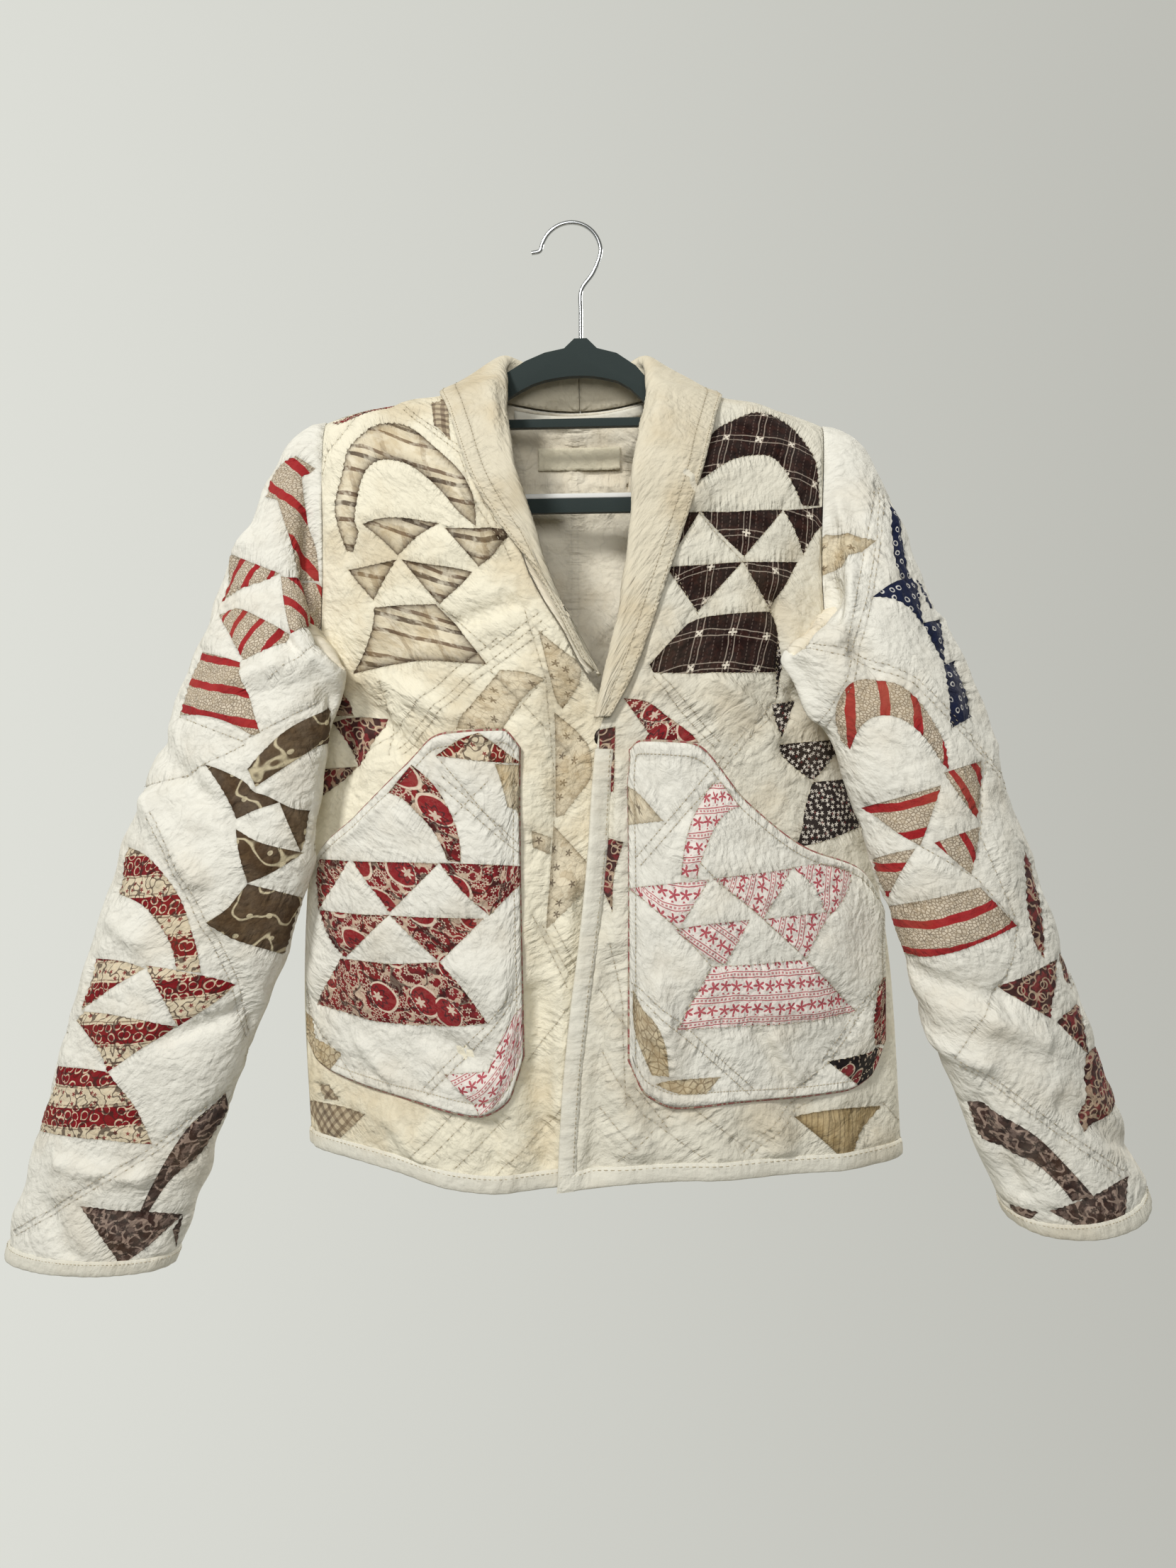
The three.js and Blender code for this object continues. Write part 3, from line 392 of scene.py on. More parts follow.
for name in SLEEVES:
    NETS["sleeve_" + name] = sleeve_net(name)
print("sleeve nets", NETS["sleeve_left"].shape)

# %% [markdown]
# The pockets are bags without a back, sewn to the fronts on three sides. Their slanting mouths hang open.
# The collar is one folded band: it rises from the neck seam, turns over a roll and falls on the coat.

# %% Nets of the pockets and the collar
POCKETS = {
    "right": {
        "bottom": through([[-203, -640], [-192, -657], [-170, -665], [-106, -677], [-62, -684], [-42, -674],
                           [-30, -640]]),
        "mouth": through([[-203, -560], [-190, -503], [-149, -467], [-106, -427], [-84, -407], [-40, -404],
                          [-30, -416]]),
        "sides": (-203, -30),
    },
    "left": {
        "bottom": through([[49, -640], [60, -663], [84, -674], [130, -671], [205, -669], [226, -660],
                           [238, -636]]),
        "mouth": through([[49, -418], [56, -412], [90, -414], [127, -456], [169, -490], [212, -507],
                          [238, -540]]),
        "sides": (49, 238),
    },
}
POCKET_GAPE = 14
POCKET_CELLS = 24


def unit(vectors):
    return vectors / np.maximum(np.linalg.norm(vectors, axis=-1, keepdims=True), 1e-9)


def net_normals(net):
    return unit(np.cross(np.gradient(net, axis=1), np.gradient(net, axis=0)))


def pocket_net(name):
    pocket = POCKETS[name]
    share = np.linspace(0, 1, POCKET_CELLS + 1)
    across = 0.5 - 0.2 * np.cos(np.pi * share) + (share - 0.5) * 0.6
    x = np.broadcast_to(lerp(*pocket["sides"], across), (POCKET_CELLS + 1, POCKET_CELLS + 1))
    up = share[:, None]
    z = lerp(pocket["bottom"](x), pocket["mouth"](x), up)
    net = np.stack([x, FRONT_Y[name](x, z), z], axis=2)
    normals = net_normals(net)
    normals = np.where((normals[..., 1] > 0)[..., None], -normals, normals)
    gape = POCKET_GAPE * np.sin(np.pi * share) ** 0.8 * smooth(up, 0, 0.75)
    return net + normals * (PUFF + 1 + CLOTH + gape)[..., None]


COLLARS = {
    "right": [
        ((5, None, -141), (5, 17, -108), (5, None, -150), (0, 1, 0.1)),
        ((-36, None, -139), (-30, 14, -106), (-46, None, -150), (-0.1, 1, 0.2)),
        ((-78, 0, -130.2), (-49, 2, -104), (-100, 6, -128.5), (-0.5, 0.2, 0.85)),
        ((-66, None, -162), (-48, -22, -132), (-88, None, -163), (-0.35, -0.8, 0.4)),
        ((-50, None, -206), (-37, None, -200), (-70, None, -212), (0, -1, 0)),
        ((-36, None, -250), (-23, None, -246), (-47, None, -250), (0, -1, 0)),
        ((-23, None, -291), (-9, None, -290), (-19, None, -288), (0, -1, 0)),
        ((16, None, -362), (28, None, -362), (14, None, -350), (0, -1, 0)),
    ],
    "left": [
        ((5.6, None, -141), (5.6, 17, -108), (5.6, None, -150), (0, 1, 0.1)),
        ((44, None, -139), (40, 14, -108), (58, None, -152), (0.1, 1, 0.2)),
        ((79, 0, -132.2), (56, 2, -107), (112, 6, -135.5), (0.5, 0.2, 0.85)),
        ((72, None, -168), (60, -22, -140), (112, None, -170), (0.35, -0.8, 0.4)),
        ((65, None, -208), (51, None, -206), (103, None, -208), (0, -1, 0)),
        ((62, None, -245), (49, None, -244), (92, None, -243), (0, -1, 0)),
        ((57, None, -294), (44, None, -293), (75, None, -296), (0, -1, 0)),
        ((43, None, -359), (31, None, -359), (53, None, -360), (0, -1, 0)),
        ((33, None, -394), (23, None, -394), (36, None, -393), (0, -1, 0)),
    ],
}
COLLAR_STEPS = 48
COLLAR_CLOTH = 2.4
COLLAR_ROLL = 4.2
COLLAR_REST = PUFF + 2.1
COLLAR_BAND = 11


def on_line(points, axis, value):
    i = int(np.clip(np.searchsorted(points[:, axis], value) - 1, 0, len(points) - 2))
    share = (value - points[i, axis]) / (points[i + 1, axis] - points[i, axis])
    return lerp(points[i], points[i + 1], share)


def collar_net(name):
    """The collar's face, from the neck seam over the roll to its edge, in steps down to the lapel's foot."""
    stations = COLLARS[name]
    front = FRONT_Y[name]

    def placed(place, out, clear):
        x, y, z = place
        if y is None:
            y = back_y(x, z) + clear if out[1] > 0 else front(x, z) - clear
        return x, y, z

    seams, rolls, edges = (space_curve([placed(s[k], s[3], clear) for s in stations])
                           for k, clear in ((0, 0), (1, COLLAR_ROLL - COLLAR_CLOTH), (2, COLLAR_REST)))
    outs = space_curve([s[3] for s in stations])
    neck_share = 2 / (len(stations) - 1)
    back_neck, front_neck = NETS["back"][-1], NETS["front_" + name][:, 0]

    def inside_coat(p):
        under_shoulder = p[2] < shoulder_line(p[0]) + COLLAR_REST
        behind_front = front(p[0], p[2]) - COLLAR_REST < p[1]
        return under_shoulder and behind_front and p[1] < back_y(p[0], p[2]) + COLLAR_REST

    def resting(p, out):
        lifted = np.array(p)
        while inside_coat(lifted):
            lifted = lifted + 0.25 * out
        return lifted

    net = []
    for share in np.linspace(0, 1, COLLAR_STEPS + 1):
        near, roll, edge = seams(share), rolls(share), edges(share)
        seam = on_line(back_neck, 0, near[0]) if share < neck_share else on_line(front_neck, 2, near[2])
        fall = unit(edge - roll)
        out = outs(share)
        out = unit(out - fall * (out @ fall))
        middle = roll + fall * COLLAR_ROLL
        angles = np.linspace(-0.5, 0.5, 5) * np.pi
        half_turn = -np.outer(np.cos(angles), fall) + np.outer(np.sin(angles), out)
        under = middle + (COLLAR_ROLL - COLLAR_CLOTH) * half_turn
        face = middle + COLLAR_ROLL * half_turn
        band = np.clip(1 - TAPE_WIDTH / np.linalg.norm(edge - roll), 0.4, 0.85)
        shares = [0.22 * band, 0.45 * band, 0.7 * band, band, 1]
        falls = [resting(lerp(under[4], edge, s), out) + out * COLLAR_CLOTH for s in shares]
        rise = seam + unit(roll - seam) * 1.2 - out * COLLAR_CLOTH
        net.append(np.vstack([rise, lerp(rise, face[0], 0.5), face, falls]))
    return np.array(net)


for name in ("right", "left"):
    NETS["pocket_" + name] = pocket_net(name)
    NETS["collar_" + name] = collar_net(name)
print("all nets", {name: net.shape for name, net in NETS.items()})

# %% [markdown]
# A panel is a net made smooth. It answers where a place on the flat cloth lies in space, which way it
# faces, and which place on the cloth shows at a pixel. Places on the cloth are millimetres across and up
# the panel.

# %% Panels
FINE = 3.5
NEAR_PIXELS = 9
OUTWARD = {"back": (0, 1, 0), "sleeve_right": (0, -1, 0), "sleeve_left": (0, -1, 0)}


class Panel:
    def __init__(self, name):
        net = NETS[name]
        self.name = name
        self.tube = name.startswith("sleeve")
        across = np.linalg.norm(np.diff(net, axis=1), axis=2)
        up = np.linalg.norm(np.diff(net, axis=0), axis=2)
        zero = np.zeros((1,))
        columns = np.concatenate([zero, np.cumsum(across.mean(axis=0))])
        rows = np.concatenate([zero, np.cumsum(up.mean(axis=1))])
        self.size = np.array([columns[-1], rows[-1]])
        flat_u = np.pad(np.cumsum(across, axis=1), ((0, 0), (1, 0)))
        if self.tube:
            flat_u = flat_u - flat_u[:, [flat_u.shape[1] // 2]]
        flat_v = np.pad(np.cumsum(up, axis=0), ((1, 0), (0, 0)))
        channels = np.dstack([net, flat_u, flat_v])
        self.cells = np.ceil(self.size / FINE).astype(int)
        a = np.linspace(0, self.size[0], self.cells[0] + 1)
        b = np.linspace(0, self.size[1], self.cells[1] + 1)
        sideways = channels.swapaxes(0, 1)
        if self.tube:
            period = columns[-1]
            columns = np.concatenate([columns[-3:-1] - period, columns, columns[1:3] + period])
            wrapped = sideways[..., :3]
            grown = np.concatenate([wrapped[-3:-1], wrapped, wrapped[1:3]])
            flat = np.concatenate([sideways[-3:-1, :, 3:] - sideways[-1:, :, 3:] + sideways[:1, :, 3:],
                                   sideways[..., 3:],
                                   sideways[1:3, :, 3:] + sideways[-1:, :, 3:] - sideways[:1, :, 3:]])
            sideways = np.dstack([grown, flat])
        fine = spline(rows, spline(columns, sideways, a).swapaxes(0, 1), b)
        normals = net_normals(fine[..., :3])
        middle = normals[len(b) // 2, len(a) // 2]
        sign = np.sign(middle @ np.array(OUTWARD.get(name, (0, -1, 0)), float))
        self.sign = sign
        self.fine = np.dstack([fine, normals * sign])
        self.a, self.b = a, b
        self.pixels = to_photo(fine[..., :3])
        self.depth = (fine[..., :3] - EYE) @ FORWARD
        toward = unit(EYE - fine[..., :3])
        self.hidden = (self.fine[..., 5:8] * toward).sum(axis=2) < 0.02

    def at(self, places):
        """Position, flat place and normal at places on the cloth."""
        share = np.clip(np.asarray(places, float) / self.size, 0, 1) * self.cells
        i = np.minimum(share.astype(int), self.cells - 1)
        u, v = (share - i).T[:, :, None]
        c, r = i.T
        f = self.fine
        found = lerp(lerp(f[r, c], f[r, c + 1], u), lerp(f[r + 1, c], f[r + 1, c + 1], u), v)
        return found[:, :3], found[:, 3:5], unit(found[:, 5:8])

    def from_photo(self, pixels):
        """Places on the cloth that show at pixels. A pixel off the cloth gives a place past its edge."""
        places = []
        for pixel in np.asarray(pixels, float):
            gap = ((self.pixels - pixel) ** 2).sum(axis=2) + self.hidden * 1e7
            near = gap < gap.min() + NEAR_PIXELS**2
            r, c = np.unravel_index(np.where(near, self.depth * 30 + gap, 1e9).argmin(), gap.shape)
            r, c = np.clip([r, c], 1, self.cells[::-1] - 1)
            across = (self.pixels[r, c + 1] - self.pixels[r, c - 1]) / (self.a[c + 1] - self.a[c - 1])
            up = (self.pixels[r + 1, c] - self.pixels[r - 1, c]) / (self.b[r + 1] - self.b[r - 1])
            step = np.linalg.lstsq(np.column_stack([across, up]), pixel - self.pixels[r, c], rcond=0.05)[0]
            places.append(np.array([self.a[c], self.b[r]]) + np.clip(step, -25, 25))
        return np.array(places)


PANELS = {name: Panel(name) for name in NETS}
print("panel sizes in mm", {name: panel.size.round().tolist() for name, panel in PANELS.items()})

# %% [markdown]
# The patches were cut and pieced by hand, so each has its own outline, given here by the pixels of its
# corners. They belong to basket blocks: an arched handle, rows of triangles, and a foot. The cutter went
# through the blocks. Each entry is a cloth, the turn of its print in degrees, and outlines of the pieces
# cut from it.

# %% Patches that show
PATCHES = {}
PATCHES["front_left"] = [
    ("brown_plaid", 0, [
        [(985, 640), (1009, 604), (1037, 588), (1066, 582), (1100, 591), (1125, 607), (1144, 632),
         (1155, 666),
         (1157, 713), (1133, 713), (1119, 685), (1100, 652), (1084, 640), (1056, 640), (1025, 651),
         (985, 680)],
        [(905, 726), (987, 722), (948, 785)], [(989, 722), (1105, 719), (1050, 785)],
        [(1106, 720), (1181, 713), (1178, 727), (1148, 752), (1134, 782), (1120, 745)],
        [(940, 800), (1047, 793), (984, 863)], [(1048, 793), (1127, 792), (1089, 860)],
        [(982, 868), (1089, 862), (1103, 880), (1103, 948), (1000, 950), (922, 949), (916, 938),
         (950, 900)]]),
    ("star_print", 0, [
        [(1097, 1051), (1130, 1047), (1176, 1044), (1182, 1062), (1156, 1093), (1150, 1100), (1140, 1096),
         (1103, 1066)],
        [(1148, 1103), (1196, 1099), (1210, 1135), (1217, 1166), (1170, 1185), (1124, 1196), (1135, 1150)],
        [(1091, 993), (1129, 990), (1115, 1012), (1098, 1042), (1092, 1020)],
        [(1099, 953), (1103, 900), (1110, 940), (1104, 960), (1095, 990)]]),
    ("red_paisley", 20, [
        [(880, 985), (915, 988), (941, 1010), (975, 1035), (985, 1048), (905, 1050), (915, 1035)]]),
    ("dark_red_paisley", 0, [
        [(845, 1030), (868, 1025), (866, 1115), (858, 1120), (846, 1090)],
        [(850, 1180), (880, 1188), (872, 1215), (866, 1240), (864, 1285), (848, 1250), (842, 1215)]]),
    ("tan_bark", 0, [
        [(1120, 1575), (1170, 1566), (1243, 1560), (1215, 1600), (1203, 1628), (1183, 1630), (1165, 1612)]]),
    ("tan_floral", 0, [[(1167, 661), (1185, 640), (1200, 632), (1228, 664), (1200, 660)]]),
]
PATCHES["front_right"] = [
    ("faded_plaid", 4, [
        [(487, 776), (473, 735), (471, 705), (485, 657), (493, 629), (524, 601), (556, 593), (581, 601),
         (615, 632), (643, 657), (662, 682), (673, 710), (671, 742), (646, 722), (627, 697), (606, 676),
         (577, 654), (546, 646), (524, 651), (510, 669), (504, 697), (500, 735), (507, 750), (496, 778)],
        [(513, 740), (535, 730), (570, 729), (618, 738), (592, 752), (560, 783), (535, 758)],
        [(628, 745), (670, 745), (714, 747), (717, 758), (695, 783), (674, 798), (652, 772)],
        [(491, 804), (521, 798), (558, 789), (545, 812), (525, 846), (508, 826)],
        [(566, 789), (600, 796), (640, 800), (665, 806), (650, 825), (620, 852), (600, 830)],
        [(527, 857), (570, 853), (614, 852), (650, 890), (686, 937), (640, 934), (600, 931), (550, 938),
         (497, 951), (515, 920), (527, 885)]]),
    ("tan_floral", 30, [
        [(705, 945), (745, 948), (768, 958), (735, 985), (709, 1029), (646, 1028), (655, 1005), (690, 965)],
        [(760, 890), (790, 915), (820, 936), (818, 965), (795, 1000), (783, 985), (771, 935)],
        [(783, 1005), (795, 1015), (815, 1032), (834, 1056), (836, 1098), (815, 1122), (795, 1150),
         (784, 1152)],
        [(781, 1165), (800, 1185), (833, 1222), (829, 1252), (800, 1280), (770, 1310), (775, 1240)],
        [(750, 1172), (778, 1182), (775, 1205), (752, 1195)]]),
    ("dark_red_paisley", 30, [
        [(467, 1020), (490, 1012), (537, 1012), (528, 1040), (518, 1066), (505, 1082), (494, 1055)],
        [(454, 1085), (503, 1081), (480, 1105), (456, 1122)],
        [(470, 985), (480, 975), (492, 995), (496, 1010), (472, 1010)]]),
    ("brown_check", 40, [
        [(428, 1552), (465, 1556), (517, 1571), (490, 1596), (470, 1615), (445, 1590)],
        [(452, 1528), (466, 1530), (478, 1552), (460, 1550)]]),
    ("red_paisley", 0, [[(468, 592), (500, 578), (552, 566), (554, 570), (505, 583), (475, 597)]]),
    ("brown_check", 10, [[(608, 566), (632, 560), (634, 620), (618, 602), (612, 600)]]),
]
PATCHES["pocket_left"] = [
    ("pink_floral_stripe", 0, [
        [(961, 1236), (963, 1213), (968, 1183), (977, 1155), (990, 1130), (1005, 1106), (1018, 1104),
         (1044, 1138), (1026, 1144), (1010, 1164), (998, 1189), (988, 1217), (983, 1240)],
        [(887, 1253), (945, 1247), (1001, 1241), (957, 1310)],
        [(1004, 1364), (1070, 1362), (1135, 1354), (1165, 1380), (1210, 1428), (1150, 1440), (1085, 1448),
         (1010, 1450), (953, 1453), (985, 1400)]]),
    ("pink_floral_stripe", 65, [
        [(1006, 1240), (1093, 1229), (1118, 1225), (1078, 1296)], [(1077, 1297), (1172, 1286), (1137, 1352)],
        [(1118, 1224), (1160, 1217), (1202, 1230), (1197, 1258), (1185, 1276), (1170, 1291), (1160, 1282),
         (1158, 1270), (1150, 1253), (1132, 1234)]]),
    ("pink_floral_stripe", -35, [
        [(951, 1311), (1000, 1303), (1058, 1298), (1024, 1361), (1003, 1356)]]),
    ("dark_paisley", 30, [
        [(1169, 1498), (1215, 1488), (1262, 1475), (1268, 1490), (1250, 1520), (1234, 1551)]]),
    ("red_paisley", 0, [
        [(1237, 1390), (1256, 1373), (1262, 1400), (1265, 1455), (1262, 1472), (1235, 1478), (1233, 1430)]]),
    ("tan_crackle", 0, [
        [(893, 1395), (905, 1425), (925, 1440), (940, 1475), (944, 1520), (920, 1518), (905, 1485),
         (893, 1450)],
        [(925, 1530), (950, 1524), (1016, 1520), (996, 1543), (955, 1545)]]),
    ("tan_floral", 0, [[(886, 1108), (900, 1118), (935, 1158), (900, 1162), (886, 1163)]]),
]
PATCHES["pocket_right"] = [
    ("red_paisley", 0, [
        [(548, 1118), (581, 1079), (606, 1100), (625, 1126), (641, 1160), (650, 1197), (650, 1217),
         (632, 1214), (619, 1185), (603, 1160), (587, 1144), (568, 1127)],
        [(451, 1211), (491, 1215), (462, 1258), (447, 1284), (445, 1250)],
        [(497, 1215), (619, 1218), (548, 1288)],
        [(620, 1217), (742, 1222), (741, 1241), (690, 1292), (655, 1262)],
        [(449, 1283), (500, 1290), (548, 1291), (487, 1351), (462, 1325)],
        [(550, 1292), (681, 1297), (620, 1357), (590, 1330)],
        [(480, 1352), (550, 1362), (620, 1357), (650, 1390), (688, 1444), (620, 1450), (540, 1444),
         (500, 1433), (443, 1417), (465, 1380)]]),
    ("red_paisley_stripe", 40, [[(615, 1066), (648, 1042), (675, 1034), (700, 1050), (735, 1077),
                                 (690, 1075)]]),
    ("tan_floral", 0, [
        [(698, 1078), (733, 1079), (733, 1145), (716, 1138), (708, 1105)],
        [(729, 1118), (744, 1112), (744, 1177), (728, 1150)]]),
    ("pink_floral_stripe", 40, [
        [(732, 1422), (740, 1418), (737, 1480), (722, 1528), (700, 1561), (676, 1574), (672, 1562),
         (650, 1541), (628, 1515), (688, 1513), (700, 1479), (716, 1450)]]),
    ("tan_crackle", 0, [
        [(413, 1462), (440, 1462), (481, 1487), (458, 1522), (440, 1515), (420, 1490)],
        [(412, 1345), (420, 1390), (440, 1450), (445, 1475), (425, 1455), (413, 1400)]]),
]
PATCHES["sleeve_right"] = [
    ("red_stripe_crackle", -24, [
        [(384, 668), (402, 650), (418, 644), (445, 660), (425, 672), (428, 703), (435, 742), (447, 775),
         (450, 820), (422, 812), (419, 800), (412, 766), (400, 735), (392, 706), (375, 700)],
        [(396, 812), (420, 815), (450, 822), (470, 848), (478, 868), (440, 880), (409, 892), (400, 850)]]),
    ("red_stripe_crackle", 70, [
        [(334, 785), (360, 795), (395, 808), (350, 824), (322, 838), (311, 848)],
        [(307, 866), (330, 857), (345, 860), (406, 891), (388, 910), (342, 931), (325, 900)]]),
    ("red_stripe_crackle", -12, [
        [(282, 918), (310, 925), (338, 934), (350, 985), (366, 1034), (354, 1037), (320, 1017), (285, 1008),
         (250, 1008), (268, 950)]]),
    ("olive_swirl", 0, [
        [(395, 1036), (430, 1014), (470, 1000), (470, 1050), (455, 1050), (420, 1070), (360, 1110),
         (350, 1085), (370, 1060)],
        [(288, 1078), (310, 1085), (345, 1102), (352, 1112), (358, 1118), (375, 1122), (394, 1132),
         (360, 1142), (328, 1155), (318, 1125), (300, 1092)],
        [(394, 1132), (415, 1142), (440, 1144), (432, 1180), (424, 1203), (410, 1170)],
        [(330, 1170), (365, 1190), (428, 1203), (385, 1232), (349, 1246), (338, 1210)],
        [(349, 1247), (390, 1258), (432, 1268), (420, 1305), (400, 1346), (360, 1336), (318, 1322),
         (290, 1302), (320, 1284), (334, 1265)]]),
    ("red_paisley_stripe", 8, [
        [(180, 1195), (200, 1202), (236, 1236), (256, 1276), (265, 1298), (280, 1350), (284, 1372),
         (250, 1368), (244, 1342), (224, 1304), (197, 1272), (162, 1260)],
        [(134, 1352), (170, 1355), (205, 1366), (150, 1397), (118, 1425)],
        [(206, 1362), (250, 1368), (296, 1378), (332, 1394), (290, 1424), (248, 1450), (228, 1405)],
        [(108, 1440), (122, 1427), (180, 1434), (246, 1450), (195, 1482), (152, 1512), (136, 1480)],
        [(80, 1504), (120, 1508), (153, 1512), (190, 1562), (215, 1614), (135, 1609), (51, 1596),
         (68, 1545)]]),
    ("mauve_print", 30, [
        [(196, 1712), (212, 1676), (240, 1626), (262, 1594), (292, 1568), (320, 1543), (326, 1562),
         (304, 1606), (276, 1634), (240, 1664), (222, 1690), (206, 1716)],
        [(112, 1702), (180, 1710), (258, 1713), (215, 1755), (170, 1786), (140, 1745)],
        [(244, 1735), (258, 1714), (250, 1760)]]),
]
PATCHES["sleeve_left"] = [
    ("tan_floral", 0, [
        [(1148, 790), (1153, 765), (1165, 754), (1200, 757), (1237, 762), (1200, 790), (1163, 812),
         (1135, 822)]]),
    ("navy_rings", 0, [
        [(1255, 702), (1268, 725), (1280, 780), (1286, 814), (1272, 816), (1262, 770)],
        [(1232, 841), (1257, 822), (1287, 812), (1297, 826), (1301, 882), (1281, 857), (1257, 843)],
        [(1295, 816), (1303, 822), (1318, 860), (1310, 855)],
        [(1301, 879), (1325, 874), (1331, 895), (1336, 940), (1322, 912)],
        [(1332, 938), (1347, 932), (1362, 970), (1374, 1010), (1343, 1027), (1337, 985)]]),
    ("red_stripe_crackle", 108, [
        [(1176, 1005), (1186, 980), (1200, 962), (1225, 955), (1250, 957), (1282, 973), (1313, 1006),
         (1336, 1055), (1340, 1085), (1331, 1078), (1313, 1050), (1287, 1023), (1260, 1008), (1231, 1010),
         (1211, 1027), (1197, 1058), (1182, 1045)]]),
    ("red_stripe_crackle", 75, [
        [(1332, 1090), (1383, 1074), (1388, 1108), (1380, 1154), (1352, 1122)],
        [(1318, 1189), (1350, 1178), (1384, 1166), (1380, 1200), (1372, 1234), (1345, 1212)]]),
    ("red_stripe_crackle", -16, [
        [(1212, 1141), (1270, 1125), (1327, 1108), (1312, 1158), (1298, 1193), (1258, 1171)],
        [(1231, 1212), (1260, 1203), (1291, 1197), (1268, 1235), (1249, 1268), (1238, 1240)],
        [(1248, 1280), (1310, 1270), (1384, 1252), (1410, 1280), (1437, 1306), (1395, 1325), (1350, 1343),
         (1302, 1353), (1272, 1348), (1258, 1315)]]),
    ("dark_red_paisley", 0, [
        [(1447, 1200), (1458, 1220), (1467, 1260), (1474, 1320), (1475, 1352), (1462, 1330), (1453, 1280),
         (1450, 1240)],
        [(1412, 1393), (1454, 1375), (1492, 1353), (1489, 1400), (1483, 1437), (1455, 1420)],
        [(1496, 1347), (1503, 1343), (1515, 1387), (1508, 1385)],
        [(1492, 1442), (1522, 1416), (1530, 1450), (1536, 1488), (1512, 1462)],
        [(1534, 1487), (1550, 1475), (1568, 1515), (1579, 1553), (1560, 1580), (1532, 1598), (1528, 1575),
         (1536, 1540)]]),
    ("mauve_print", -20, [
        [(1361, 1556), (1387, 1564), (1424, 1579), (1461, 1601), (1499, 1638), (1536, 1679), (1545, 1690),
         (1513, 1695), (1495, 1671), (1461, 1641), (1424, 1627), (1387, 1608), (1373, 1582)],
        [(1480, 1708), (1513, 1698), (1545, 1688), (1592, 1659), (1590, 1700), (1583, 1735), (1573, 1749),
         (1548, 1744)],
        [(1425, 1698), (1465, 1710), (1440, 1731)]]),
]
print("patches", sum(len(outlines) for cut in PATCHES.values() for _, _, outlines in cut))

# %% [markdown]
# Quilting holds the layers together. The old rows run slantwise, many of them doubled, and dive under the
# blocks. Creases come from wear and from how the coat hangs: each is a line, a half-width, and a height,
# minus for a trough.

